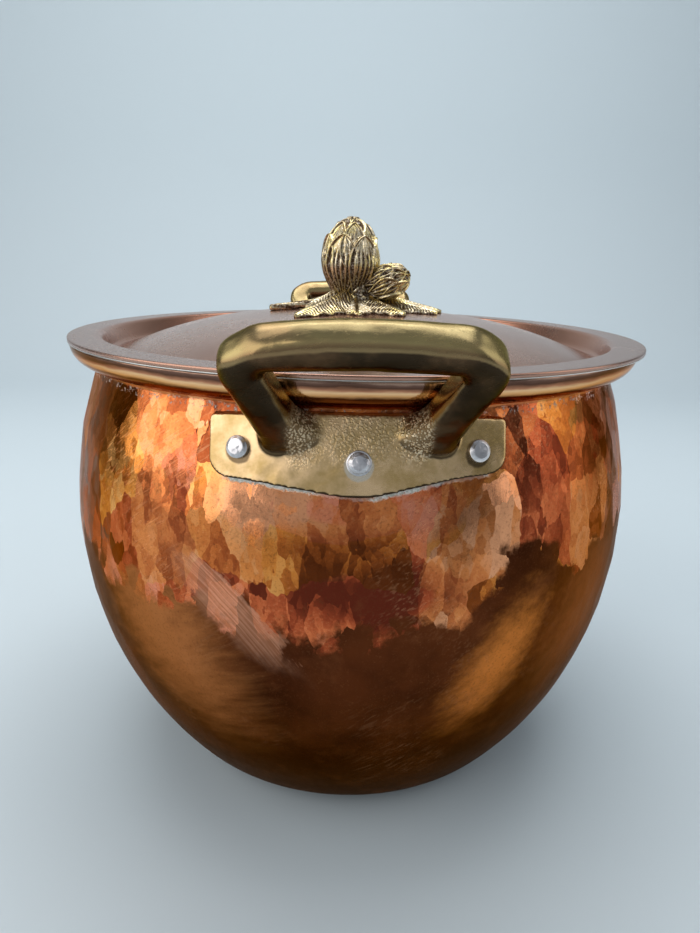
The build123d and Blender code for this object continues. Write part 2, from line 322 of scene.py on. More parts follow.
sideCentre = np.array([vessel["bellyRadius"] - vessel["sideCurve"], vessel["bellyHeight"]])
rimCentre = np.array([vessel["rimRadius"] - vessel["rimCurve"], vessel["lipHeight"]])
cornerDrop = vessel["bellyHeight"] - vessel["baseCornerCurve"]
cornerReach = math.sqrt((vessel["sideCurve"] - vessel["baseCornerCurve"])**2 - cornerDrop**2)
cornerCentre = np.array([sideCentre[0] + cornerReach, vessel["baseCornerCurve"]])
neckCentre = circlesMeet(sideCentre, vessel["sideCurve"] + vessel["neckCurve"],
                         rimCentre, vessel["rimCurve"] + vessel["neckCurve"])


def vesselRun(depth, counts):
    # The vessel's profile from its axis to its lip, a depth inside the outer surface.
    floorCount, cornerCount, sideCount, neckCount, rimCount = counts
    sideStart = angleOf(sideCentre, cornerCentre)
    sideStop = angleOf(sideCentre, neckCentre)
    neckStart = angleOf(neckCentre, sideCentre)
    neckStop = angleOf(neckCentre, rimCentre)
    neckStart += 360 if neckStart < 0 else 0
    return joinProfile(
        linePoints((0, depth), (cornerCentre[0], depth), floorCount),
        arcPoints(cornerCentre, vessel["baseCornerCurve"] - depth, -90, sideStart, cornerCount),
        arcPoints(sideCentre, vessel["sideCurve"] - depth, sideStart, sideStop, sideCount),
        arcPoints(neckCentre, vessel["neckCurve"] + depth, neckStart, neckStop, neckCount),
        arcPoints(rimCentre, vessel["rimCurve"] - depth, angleOf(rimCentre, neckCentre), 0, rimCount),
    )


hammering = {
    "rowPitch": 15.5 * mm,
    "columnPitch": 10.8 * mm,
    "jitter": 0.34,
    "tilt": 0.016,
    "sinkSpread": 0.035 * mm,
    "ridgeSoftness": 0.012 * mm,
    "flatness": 0.96,
    "top": 187.0 * mm,
    # Full relief down to fadeStart and lowShare of it below fadeEnd, and none at the base and at the top.
    "fadeStart": 104 * mm,
    "fadeEnd": 52 * mm,
    "lowShare": 0.30,
    "baseFade": (6 * mm, 24 * mm),
    "topFade": 2 * mm,
    "levelShare": 0.998,
    "seed": 11,
}


def hammerMarks(turns, heights):
    # How far the blows move the wall. Each leaves a flat patch, so the surface is the lower envelope of flat
    # patches laid on the curved wall. A patch stands off the wall by u*u/2R + v*v/2R at an offset (u, v) from its
    # centre, with its own tilt, less its own sink.
    h = hammering
    lift = np.arcsin(np.clip((heights - sideCentre[1]) / vessel["sideCurve"], -1, 1))
    down = vessel["sideCurve"] * (lift.max() - lift)
    rows = int(down.max() / h["rowPitch"]) + 4
    columns = int(round(2 * np.pi * vessel["bellyRadius"] / h["columnPitch"]))
    rng = np.random.default_rng(h["seed"])
    shift = rng.uniform(-h["jitter"], h["jitter"], (2, rows, columns))
    tilt = rng.normal(0, h["tilt"], (2, rows, columns))
    sink = rng.normal(0, h["sinkSpread"], (rows, columns))
    radius = sideCentre[0] + vessel["sideCurve"] * np.cos(lift)
    v0 = (down / h["rowPitch"])[:, None]
    u0 = (turns / (2 * np.pi) * columns)[None, :]
    total = np.zeros((len(heights), len(turns)))
    for rowStep in (-1, 0, 1, 2):
        row = np.clip(np.floor(v0).astype(int) + rowStep + 1, 0, rows - 1)
        stagger = 0.5 * (row % 2)
        for columnStep in (-1, 0, 1, 2):
            column = np.floor(u0 - stagger).astype(int) + columnStep
            row2, column2 = np.broadcast_arrays(row, column % columns)
            u = (u0 - stagger - column - shift[0, row2, column2]) * 2 * np.pi / columns * radius[:, None]
            v = (v0 - (row - 1) - shift[1, row2, column2]) * h["rowPitch"]
            stand = h["flatness"] * (u**2 / (2 * radius[:, None]) + v**2 / (2 * vessel["sideCurve"]))
            stand = stand + tilt[0, row2, column2] * u + tilt[1, row2, column2] * v - sink[row2, column2]
            total += np.exp(-stand / h["ridgeSoftness"])
    stand = -h["ridgeSoftness"] * np.log(total)
    fade = np.interp(heights, [h["fadeEnd"], h["fadeStart"]], [h["lowShare"], 1])
    fade = fade * np.interp(heights, [*h["baseFade"], h["top"] - h["topFade"], h["top"]], [0, 1, 1, 0])
    return (stand - np.quantile(stand, h["levelShare"])).clip(max=0) * fade[:, None]


def makePotShell():
    v = vessel
    outside = vesselRun(0, (12, 14, 158, 7, 18))
    inside = vesselRun(v["wall"], (5, 6, 16, 4, 7))[::-1]
    soft = v["lipRounding"]
    outside[-1] = (v["rimRadius"], v["lipHeight"] - soft)
    inside[0] = (v["rimRadius"] - v["wall"], v["lipHeight"])
    lip = np.array([
        [v["rimRadius"] - 0.3 * soft, v["lipHeight"] - 0.3 * soft],
        [v["rimRadius"] - soft, v["lipHeight"]],
    ])

    def push(turns, body):
        # Only the outside is hammered, between the base and the neck.
        onSide = (body[:, 1] > 2 * mm) & (body[:, 1] < hammering["top"])
        onSide[len(outside) - 1:] = False
        moved = np.zeros((len(body), len(turns)))
        moved[onSide] = hammerMarks(turns, body[onSide, 1])
        return moved

    piece = spunPiece("potShell", joinProfile(outside, lip, inside), v["columns"], push=push)
    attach(piece, "pot")
    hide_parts("pot_body")
    return piece


def makePotTin():
    v = vessel
    depth = v["wall"] + v["tin"]
    top = v["lipHeight"] + v["tin"]
    soft = 0.12 * mm
    backing = vesselRun(v["wall"], (4, 6, 20, 4, 8))
    edge = np.array([
        [v["rimRadius"], v["lipHeight"]],
        [v["rimRadius"], top - soft],
        [v["rimRadius"] - soft, top],
        [v["rimRadius"] - depth + soft, top],
    ])
    face = vesselRun(depth, (6, 10, 90, 6, 12))[::-1]
    piece = spunPiece("potTin", joinProfile(backing, edge, face), 240)
    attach(piece, "pot")
    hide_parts("pot_tin_lining")
    return piece


# Lid

lid = {
    "radius": 129.2 * mm,
    "sheet": 1.5 * mm,
    "tin": 0.3 * mm,
    "shift": 1.2 * mm,
    "domeHeight": 210.6 * mm,
    "crownCurve": 427 * mm,
    "crownReach": 60 * mm,
    "shoulderCurve": 180 * mm,
    "channelRadius": 110.5 * mm,
    "channelCurve": 3 * mm,
    "skirtAngle": 70,
    "flangeCurve": 2.5 * mm,
    "edgeRounding": 0.4 * mm,
    "columns": 360,
}
flangeHeight = vessel["lipHeight"] + vessel["tin"] + lid["tin"] + lid["sheet"]
crownCentre = np.array([0, lid["domeHeight"] - lid["crownCurve"]])
crownStop = 90 - math.degrees(math.asin(lid["crownReach"] / lid["crownCurve"]))
shoulderCentre = pointOn(crownCentre, lid["crownCurve"] - lid["shoulderCurve"], crownStop)
channelRun = lid["channelRadius"] - shoulderCentre[0]
channelRise = math.sqrt((lid["shoulderCurve"] + lid["channelCurve"])**2 - channelRun**2)
channelCentre = np.array([lid["channelRadius"], shoulderCentre[1] + channelRise])
skirtTurn = math.radians(lid["skirtAngle"])
skirtNormal = np.array([math.sin(skirtTurn), -math.cos(skirtTurn)])
bothCurves = lid["channelCurve"] + lid["flangeCurve"]
flangeDrop = flangeHeight - lid["flangeCurve"]
skirtRun = (flangeDrop - channelCentre[1] - bothCurves * skirtNormal[1]) / math.tan(skirtTurn)
flangeCentre = np.array([channelCentre[0] + bothCurves * skirtNormal[0] + skirtRun, flangeDrop])


def lidRun(depth, counts):
    # The lid's profile from its axis to its edge, a depth below the upper surface.
    crownCount, shoulderCount, channelCount, skirtCount, flangeCount, ledgeCount = counts
    shoulderStop = angleOf(shoulderCentre, channelCentre)
    channel = arcPoints(channelCentre, lid["channelCurve"] + depth, shoulderStop + 180, 270 + lid["skirtAngle"],
                        channelCount)
    flange = arcPoints(flangeCentre, lid["flangeCurve"] - depth, 90 + lid["skirtAngle"], 90, flangeCount)
    return joinProfile(
        arcPoints(crownCentre, lid["crownCurve"] - depth, 90, crownStop, crownCount),
        arcPoints(shoulderCentre, lid["shoulderCurve"] - depth, crownStop, shoulderStop, shoulderCount),
        channel,
        linePoints(channel[-1], flange[0], skirtCount),
        flange,
        linePoints(flange[-1], (lid["radius"], flangeHeight - depth), ledgeCount),
    )


def makeLidCopper():
    soft = lid["edgeRounding"]
    upper = lidRun(0, (26, 30, 12, 6, 10, 9))
    lower = lidRun(lid["sheet"], (10, 12, 8, 4, 4, 5))
    upper[-1] = (lid["radius"] - soft, flangeHeight)
    edge = np.array([
        [lid["radius"] - 0.3 * soft, flangeHeight - 0.3 * soft],
        [lid["radius"], flangeHeight - soft],
    ])
    piece = spunPiece("lidCopper", joinProfile(lower, edge[::-1], upper[::-1]), lid["columns"], (lid["shift"], 0))
    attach(piece, "lid")
    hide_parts("lid_shell")
    return piece


def makeLidTin():
    low = lidRun(lid["sheet"] + lid["tin"], (20, 24, 10, 5, 4, 7))
    high = lidRun(lid["sheet"], (10, 12, 8, 4, 4, 5))
    piece = spunPiece("lidTin", joinProfile(low, high[::-1]), 240, (lid["shift"], 0))
    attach(piece, "lid")
    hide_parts("lid_tin_lining")
    return piece


potShell = makePotShell()
potTin = makePotTin()
lidCopper = makeLidCopper()
lidTin = makeLidTin()
print("Vessel and lid made")


def bumps(points, size, seed, waves=24):
    # Smooth random relief: a sum of sine waves in random directions, each about one size long, from -1 to 1.
    rng = np.random.default_rng(seed)
    ways = rng.normal(0, 1, (waves, 3))
    ways *= (2 * np.pi / size * rng.uniform(0.6, 1.5, (waves, 1))) / np.linalg.norm(ways, axis=1, keepdims=True)
    phases = rng.uniform(0, 2 * np.pi, waves)
    return np.sin(points @ ways.T + phases).sum(axis=-1) / math.sqrt(waves) / 1.6


def smoothRise(value, low, high):
    share = np.clip((value - low) / (high - low), 0, 1)
    return share * share * (3 - 2 * share)


def turnedPoints(points, angle):
    # Points turned about the vertical axis, with the angle in degrees.
    turn = math.radians(angle)
    x, y, z = points[..., 0], points[..., 1], points[..., 2]
    return np.stack([x * math.cos(turn) - y * math.sin(turn), x * math.sin(turn) + y * math.cos(turn), z], axis=-1)


# Handles

handle = {
    "plateThickness": 3.5 * mm,
    "plateWidth": 97.6 * mm,
    "plateTop": 186.5 * mm,
    "plateShoulder": 184 * mm,
    # Heights of the lower edge at places across the plate.
    "lowEdgePlaces": np.array([-43, -32, -14.8, -7, -1, 3, 8, 16.6, 31, 43]) * mm,
    "lowEdgeHeights": np.array([164.9, 164.4, 162.6, 161.5, 160.9, 161.1, 162.0, 163.9, 166.3, 167.1]) * mm,
    "plateCornerCurve": 6 * mm,
    "gripReach": 147.2 * mm,
    "gripHeight": 210.5 * mm,
    "gripRise": 1.2 * mm,
    "gripSpan": 72.8 * mm,
    "gripBend": 8 * mm,
    "archBend": 300 * mm,
    "barWidth": 13.2 * mm,
    "barDepth": 12.6 * mm,
    "footSpan": 48.4 * mm,
    "footHeight": 179.5 * mm,
    "footFlare": 6.5 * mm,
    "flareReach": 5.2 * mm,
    "squareness": 2.7,
    "cornerSquareness": 1.5,
    # Where the grip's corners are, and how far each way their own shape reaches.
    "rightCorner": ((35 * mm, 208 * mm), (7 * mm, 9 * mm)),
    "leftCorner": ((-36 * mm, 208 * mm), (8 * mm, 9 * mm)),
    "leftWidening": 0.02,
    "leftFall": 2.3 * mm,
    "rightFall": 1.2 * mm,
    "plateEdgeCurve": 1.6 * mm,
    "plateBacking": 0.6 * mm,
    "spacing": 0.8 * mm,
    "voxel": 0.5 * mm,
    "footPlace": (24 * mm, 180 * mm),
    "filletSteps": 60,
    "slowRelief": 0.10 * mm,
    "pitDepth": 0.11 * mm,
    "mostOutward": 0.02 * mm,
}


def sideRadius(height, outward=0.0):
    # The vessel's radius at a height on its side, or a distance outside it.
    return sideCentre[0] + np.sqrt((vessel["sideCurve"] + outward)**2 - (height - sideCentre[1])**2)


def plateLowEdge(x):
    # The plate's lower edge between its corners: straight runs between the given places, averaged over 8 mm.
    shifts = np.linspace(-4, 4, 9) * mm
    places, heights = handle["lowEdgePlaces"], handle["lowEdgeHeights"]
    return np.mean([np.interp(x + shift, places, heights) for shift in shifts], axis=0)


def roundedPath(points, bends, spacing):
    # Straight runs between points, joined by arcs that touch both, sampled a spacing apart.
    # Each sample is point + way * distance on a run, and on an arc a blend of its two ends about its centre.
    points = [np.array(point, dtype=float) for point in points]
    ends, arcs = [points[0]], []
    for before, corner, after, bend in zip(points, points[1:], points[2:], bends):
        back = (before - corner) / np.linalg.norm(before - corner)
        ahead = (after - corner) / np.linalg.norm(after - corner)
        half = math.acos(np.clip(back @ ahead, -1, 1)) / 2
        reach = bend / math.tan(half)
        middle = (back + ahead) / np.linalg.norm(back + ahead)
        centre = corner + middle * bend / math.sin(half)
        arcs.append((corner + back * reach, corner + ahead * reach, centre, bend, math.pi - 2 * half))
    runs = []
    for start, stop, centre, bend, turn in arcs:
        runs.append(linePoints(ends[-1], start, max(2, int(np.linalg.norm(start - ends[-1]) / spacing))))
        share = np.linspace(0, 1, max(3, int(turn * bend / spacing)))[:, None]
        first, last = start - centre, stop - centre
        runs.append(centre + (np.sin((1 - share) * turn) * first + np.sin(share * turn) * last) / math.sin(turn))
        ends.append(stop)
    runs.append(linePoints(ends[-1], points[-1], max(2, int(np.linalg.norm(points[-1] - ends[-1]) / spacing))))
    return joinProfile(*runs)


def tubeMesh(path, across, outline):
    # An outline of (aside, across) offsets at each path point, carried along the path and closed at both ends.
    way = np.gradient(path, axis=0)
    way /= np.linalg.norm(way, axis=1, keepdims=True)
    across = across - way * (way @ across)[:, None]
    across /= np.linalg.norm(across, axis=1, keepdims=True)
    aside = np.cross(way, across)
    ring = path[:, None] + aside[:, None] * outline[..., :1] + across[:, None] * outline[..., 1:]
    vertices = np.concatenate([ring.reshape(-1, 3), path[:1], path[-1:]])
    return vertices, turnedFaces(*ring.shape[:2])


def nearness(x, z, place, spread):
    # 1 at a place and 0 far from it: exp(-(dx/spreadX)^2 - (dz/spreadZ)^2).
    return np.exp(-(((x - place[0]) / spread[0])**2 + ((z - place[1]) / spread[1])**2))


def barMesh():
    # The bar is a superellipse carried along the loop: |a/halfWidth|^n + |b/halfDepth|^n = 1.
    # n is larger at the right corner, which is crisper, and the bar flares towards the feet.
    h = handle
    footReach = sideRadius(h["footHeight"]) - 1.5 * mm
    top = np.array([h["gripSpan"] / 2, -h["gripReach"], h["gripHeight"]])
    foot = np.array([h["footSpan"] / 2, -footReach, h["footHeight"]])
    mirrored = np.array([-1, 1, 1])
    arch = np.array([0, -h["gripReach"], h["gripHeight"] + h["gripRise"]])
    path = roundedPath([foot * mirrored, top * mirrored, arch, top, foot],
                       [h["gripBend"], h["archBend"], h["gripBend"]], h["spacing"])
    legWay = (top - foot) * np.array([0, 1, 1])
    across = np.cross([1, 0, 0], legWay / np.linalg.norm(legWay))
    rise = (path - foot) @ (legWay / np.linalg.norm(legWay))
    x, z = path[:, 0], path[:, 2]
    corner = nearness(x, z, *h["rightCorner"])
    turns = np.linspace(0, 2 * np.pi, 72, endpoint=False)
    power = (h["squareness"] + h["cornerSquareness"] * corner)[:, None]
    a = np.sign(np.cos(turns)) * np.abs(np.cos(turns))**(2 / power)
    b = np.sign(np.sin(turns)) * np.abs(np.sin(turns))**(2 / power)
    flare = h["footFlare"] * np.exp(-(rise / h["flareReach"])**1.25)
    wide = h["barWidth"] / 2 * (1 + h["leftWidening"] * nearness(x, z, *h["leftCorner"]))
    outline = np.stack([a * wide[:, None], b * h["barDepth"] / 2], axis=-1)
    # The grip's top falls away towards its corners, more on the left.
    onGrip = smoothRise(np.abs(np.gradient(path, axis=0)[:, 0]) / h["spacing"], 0.3, 0.9)
    fall = h["leftFall"] * smoothRise(-x, 8 * mm, 34 * mm)**1.4 + h["rightFall"] * smoothRise(x, 14 * mm, 32 * mm)
    outline[..., 0] -= np.minimum(a, 0) * (fall * onGrip)[:, None]
    # The flare widens only the side that faces the middle of the handle.
    outline[..., 0] += np.where(a > 0, a, 0.15 * a) * flare[:, None]
    outline[..., 1] += 0.12 * b * flare[:, None]
    return path, across, outline


def plateMesh():
    # Two sheets over the same outline, one a thickness out from the vessel's wall and one a little inside it.
    # Columns run across the plate, and a row is a share of the way from the lower outline to the upper one.
    h = handle
    half = h["plateWidth"] / 2
    x = half * np.sin(np.linspace(-np.pi / 2, np.pi / 2, 220))
    away = np.abs(x)
    bend = h["plateCornerCurve"]
    corner = half - bend
    lower = plateLowEdge(x)
    rounding = bend - np.sqrt(np.clip(bend**2 - np.clip(away - corner, 0, None)**2, 0, None))
    lower = np.where(away > corner, plateLowEdge(np.sign(x) * corner) + rounding, lower)
    upper = np.interp(away, [h["footSpan"] / 2, half], [h["plateTop"], h["plateShoulder"]])
    soft = h["plateEdgeCurve"]
    upper = upper - (soft - np.sqrt(np.clip(soft**2 - np.clip(away - half + soft, 0, None)**2, 0, None)))
    step = np.linspace(0, 1, 60)[:, None]
    z = lower * (1 - step) + upper * step
    sheets = []
    for outward in (h["plateThickness"], -h["plateBacking"]):
        radius = sideRadius(z, outward)
        sheets.append(np.stack([np.broadcast_to(x, z.shape), -np.sqrt(radius**2 - x**2), z], axis=-1))
    return np.concatenate([sheet.reshape(-1, 3) for sheet in sheets]), slabFaces(*z.shape).tolist()


def joinMeshes(parts):
    vertices, faces, start = [], [], 0
    for points, polygons in parts:
        vertices.append(points.reshape(-1, 3))
        faces += [[start + corner for corner in face] for face in polygons]
        start += len(vertices[-1])
    return np.concatenate(vertices), faces


def meshPoints(mesh):
    points = np.empty(len(mesh.vertices) * 3)
    mesh.vertices.foreach_get("co", points)
    return points.reshape(-1, 3)


def bakeModifiers(piece, modifiers):
    # Adds each modifier with its settings, and keeps the mesh that they give.
    for kind, settings in modifiers:
        modifier = piece.modifiers.new(kind, kind)
        for key, value in settings.items():
            setattr(modifier, key, value)
    bpy.context.view_layer.update()
    graph = bpy.context.evaluated_depsgraph_get()
    made = bpy.data.meshes.new_from_object(piece.evaluated_get(graph))
    piece.modifiers.clear()
    old = piece.data
    piece.data = made
    bpy.data.meshes.remove(old)
    piece.data.name = piece.name
    piece.data.polygons.foreach_set("use_smooth", np.ones(len(piece.data.polygons), dtype=bool))
    return piece


def makeHandle():
    # Bar and plate are cast as one: their meshes are merged, the joints at the feet are smoothed into fillets, and
    # the skin gets a slow unevenness, with pits where it is left rough.
    h = handle
    vertices, faces = joinMeshes([tubeMesh(*barMesh()), plateMesh()])
    piece = newPiece("frontHandle", vertices, faces)
    bakeModifiers(piece, [("REMESH", {"mode": "VOXEL", "voxel_size": h["voxel"], "use_smooth_shade": True}),
                          ("SMOOTH", {"factor": 0.5, "iterations": 5})])
    points = meshPoints(piece.data)
    radial = np.hypot(points[:, 0], points[:, 1]) - sideRadius(points[:, 2])
    x, z = np.abs(points[:, 0]), points[:, 2]
    joint = 1 - smoothRise(np.hypot((x - h["footPlace"][0]) / 1.3, (z - h["footPlace"][1])), 7 * mm, 14 * mm)
    joint *= smoothRise(radial, 0.8 * mm, 2.5 * mm) * (1 - smoothRise(radial, 8 * mm, 12 * mm))
    group = piece.vertex_groups.new(name="joint")
    for level in range(1, 9):
        chosen = np.nonzero(np.round(joint * 8) == level)[0]
        group.add(chosen.tolist(), level / 8, "REPLACE")
    bakeModifiers(piece, [("SMOOTH", {"factor": 0.5, "iterations": h["filletSteps"], "vertex_group": "joint"})])
    points = meshPoints(piece.data)
    x, z = np.abs(points[:, 0]), points[:, 2]
    radial = np.hypot(points[:, 0], points[:, 1]) - sideRadius(points[:, 2])
    # Rough cast skin on the inner side of each foot, and less of it on the plate between them.
    foot = np.exp(-(np.clip(19 * mm - x, 0, None) / (5.2 * mm))**1.5 - ((z - 182 * mm) / (9.5 * mm))**4)
    foot *= 1 - smoothRise(x, 20.5 * mm, 24 * mm)
    centre = 0.24 * (1 - smoothRise(np.hypot(x / 1.5, z - 180 * mm), 3 * mm, 14 * mm))
    nearPlate = 1 - smoothRise(radial, 9 * mm, 18 * mm)
    rough = np.clip(np.maximum(foot, centre), 0, 1) * nearPlate
    normals = np.empty(len(points) * 3)
    piece.data.vertices.foreach_get("normal", normals)
    normals = normals.reshape(-1, 3)
    slow = bumps(points, 9 * mm, 5) * h["slowRelief"]
    pits = bumps(points, 1.5 * mm, 6, 40) * h["pitDepth"] * rough
    moved = points + normals * np.minimum(slow + pits, h["mostOutward"])[:, None]
    piece.data.vertices.foreach_set("co", moved.ravel())
    piece.data.update()
    addAttribute(piece, "rough", rough)
    addAttribute(piece, "offWall", radial / (20 * mm))
    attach(piece, "pot")
    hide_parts("front_handle")
    rear = bpy.data.objects.new("rearHandle", piece.data.copy())
    bpy.context.scene.collection.objects.link(rear)
    rear.data.vertices.foreach_set("co", turnedPoints(moved, 180).ravel())
    rear.data.update()
    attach(rear, "pot")
    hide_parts("rear_handle")
    return piece, rear


frontHandle, rearHandle = makeHandle()
print("Handles made:", len(frontHandle.data.polygons), "faces each")


# Rivets

rivet = {
    "shank": 2.4 * mm,
    "headRadius": 3.75 * mm,
    "headHeight": 2.4 * mm,
    "collarRadius": 4.1 * mm,
    "collarHeight": 0.9 * mm,
    "innerRadius": 5.0 * mm,
    "innerHeight": 1.6 * mm,
    "sideAngle": 18,
    "sideHeight": 173.8 * mm,
    "centreHeight": 171.1 * mm,
    "dentSize": 2.2 * mm,
    "dentDepth": 0.10 * mm,
    "columns": 56,
}


def roundedProfile(corners, bends, spacing=0.12):
    # Profile corners (radius, height), each eased by its own bend.
    spaced = np.column_stack([np.array(corners, dtype=float), np.zeros(len(corners))])
    return roundedPath(spaced, bends, spacing)[:, :2]


def rivetMesh(angle, height, collar, seed):
    # One turned profile from the inner head, through the wall, to the outer head, laid along the wall's normal.
    r = {key: value / mm for key, value in rivet.items()}
    out = handle["plateThickness"] / mm
    inside = (vessel["wall"] + vessel["tin"]) / mm
    top = out + r["headHeight"]
    head = r["headRadius"] - (0.35 if collar else 0)
    neck = [(r["collarRadius"], out - 0.3), (r["collarRadius"], out + r["collarHeight"] - 0.15),
            (head, out + r["collarHeight"] - 0.1)] if collar else [(head, out - 0.3)]
    corners = [
        (0, -inside - r["innerHeight"]), (r["innerRadius"] * 0.75, -inside - r["innerHeight"] * 0.86),
        (r["innerRadius"], -inside - 0.4), (r["innerRadius"], -inside + 0.3), (r["shank"], -inside + 0.35),
        (r["shank"], out - 0.35), *neck, (head, top - 1.0), (head * 0.68, top - 0.2), (0, top),
    ]
    bends = [0.8, 0.3, 0.1, 0.1, 0.1] + ([0.1, 0.25, 0.15] if collar else [0.1]) + [0.30, 0.40]
    profile = roundedProfile(corners, bends)
    profile[0, 0] = profile[-1, 0] = 0
    turns = np.linspace(0, 2 * np.pi, rivet["columns"], endpoint=False)
    body = profile[1:-1] * mm
    heights = np.broadcast_to(body[:, 1:], (len(body), len(turns)))
    ring = np.stack([body[:, :1] * np.cos(turns), body[:, :1] * np.sin(turns), heights], axis=-1)
    ends = np.array([[0, 0, profile[0, 1] * mm], [0, 0, profile[-1, 1] * mm]])
    points = np.concatenate([ring.reshape(-1, 3), ends])
    outer = points[:, 2] > (out + 0.3) * mm
    dents = np.maximum(bumps(points[outer], rivet["dentSize"], seed, 12), 0)
    points[outer] -= dents[:, None] * np.array([0.0, 0.0, rivet["dentDepth"]])
    lift = math.asin((height - sideCentre[1]) / vessel["sideCurve"])
    reach, turn = float(sideRadius(height)), math.radians(angle)
    outward = np.array([math.cos(lift) * math.sin(turn), -math.cos(lift) * math.cos(turn), math.sin(lift)])
    along = np.array([math.cos(turn), math.sin(turn), 0])
    up = np.cross(outward, along)
    origin = np.array([reach * math.sin(turn), -reach * math.cos(turn), height])
    return origin + points @ np.stack([along, up, outward]), turnedFaces(*ring.shape[:2])


def makeRivets():
    made = []
    for end, turn in (("front", 0), ("rear", 180)):
        # Each rivet: heading, height, whether it has a collar, and the seed of its dents.
        groups = {
            "side": [
                (-rivet["sideAngle"], rivet["sideHeight"], False, 3),
                (rivet["sideAngle"], rivet["sideHeight"], False, 4),
            ],
            "centre": [(0, rivet["centreHeight"], True, 8)],
        }
        for group, spots in groups.items():
            vertices, faces = joinMeshes([rivetMesh(*spot) for spot in spots])
            name = end + group.capitalize() + ("Rivets" if group == "side" else "Rivet")
            piece = newPiece(name, turnedPoints(vertices, turn), faces)
            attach(piece, "pot")
            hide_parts(f"{end}_{group}_" + ("rivets" if group == "side" else "rivet"))
            made.append(piece)
    return made


rivets = makeRivets()
print("Rivets made")


# Finial

finial = {
    "moundRadius": 17 * mm,
    "moundHeight": 10 * mm,
    "trunkRadius": 7.6 * mm,
    "stemLength": 41.6 * mm,
    "stemTipRadius": 1.5 * mm,
    "stemRootRadius": 2.3 * mm,
    "stemTipRise": 1.4 * mm,
    "stemRootRise": 3.4 * mm,
}
bigBud = {
    "radius": 13.6 * mm,
    "foot": 0.50,
    "fullness": 1.75,
    "height": 35.8 * mm,
    "place": (-4.3 * mm, 0, 5.4 * mm),
    "lean": (0, 3),
    "rows": 230,
    "columns": 300,
    "ribs": 3.4,
    # Each row of bracts: count, heading of the first, foot, tip, half width in degrees, stand-off.
    "bracts": [
        (6, 20, 0.55, 1.03, 42, 0.30 * mm),
        (7, 6, 0.34, 0.93, 34, 1.00 * mm),
        (7, -20, 0.00, 0.77, 37, 1.85 * mm),
    ],
}
sideBud = {
    "radius": 8.5 * mm,
    "foot": 0.66,
    "fullness": 1.9,
    "height": 20.8 * mm,
    "place": (5.2 * mm, -3.5 * mm, 8.6 * mm),
    "lean": (12, 66),
    "rows": 150,
    "columns": 190,
    "ribs": 2.6,
    "bracts": [
        (5, 10, 0.52, 1.02, 50, 0.25 * mm),
        (6, -25, 0.28, 0.93, 40, 0.80 * mm),
        (6, 5, 0.00, 0.70, 40, 1.45 * mm),
    ],
}
# The relief of a bract: heights, and distances in from its border.
bractRelief = {
    "edge": 0.82 * mm,
    "edgeInset": 0.72 * mm,
    "edgeWidth": 0.48 * mm,
    "rib": 0.28 * mm,
    "crown": 0.30 * mm,
    "cup": 0.75 * mm,
    "tuck": 0.42 * mm,
    "grooveInset": 1.35 * mm,
    "grooveWidth": 0.30 * mm,
}
# The relief of a leaf, with the spread of its outline and the fall of its crown at shares of its length.
leafRelief = {
    "spread": ([0.1, 0.2, 0.4, 0.68, 0.88, 0.97, 1.0], [0.45, 0.68, 1.0, 0.80, 0.42, 0.16, 0.02]),
    "crown": ([0.1, 0.4, 0.68, 0.88, 1.0], [1.05, 0.62, 0.34, 0.2, 0.08]),
    "edge": 0.9 * mm,
    "least": 0.45 * mm,
    "midrib": 1.0 * mm,
    "midribWidth": 0.5 * mm,
    "vein": 0.22 * mm,
    "veinPitch": 1.7 * mm,
    "waves": 6.5,
    "waveShare": 0.075,
    "ripple": 0.40 * mm,
    "sway": 1.2 * mm,
    "rows": 144,
    "columns": 69,
}
# Each leaf: heading, length, width, height of its root over the dome.
leaves = [
    (-128, 43.5 * mm, 23 * mm, 9.0 * mm),
    (-93, 31.0 * mm, 21 * mm, 6.0 * mm),
    (-52, 34.0 * mm, 22 * mm, 6.5 * mm),
    (-12, 38.5 * mm, 20 * mm, 7.0 * mm),
    (8, 41.5 * mm, 21 * mm, 8.5 * mm),
    (60, 34.0 * mm, 22 * mm, 6.5 * mm),
    (112, 36.0 * mm, 22 * mm, 6.5 * mm),
    (158, 33.0 * mm, 18 * mm, 9.0 * mm),
    (-167, 25.0 * mm, 11 * mm, 13.5 * mm),
]
domeHeight = lid["domeHeight"]


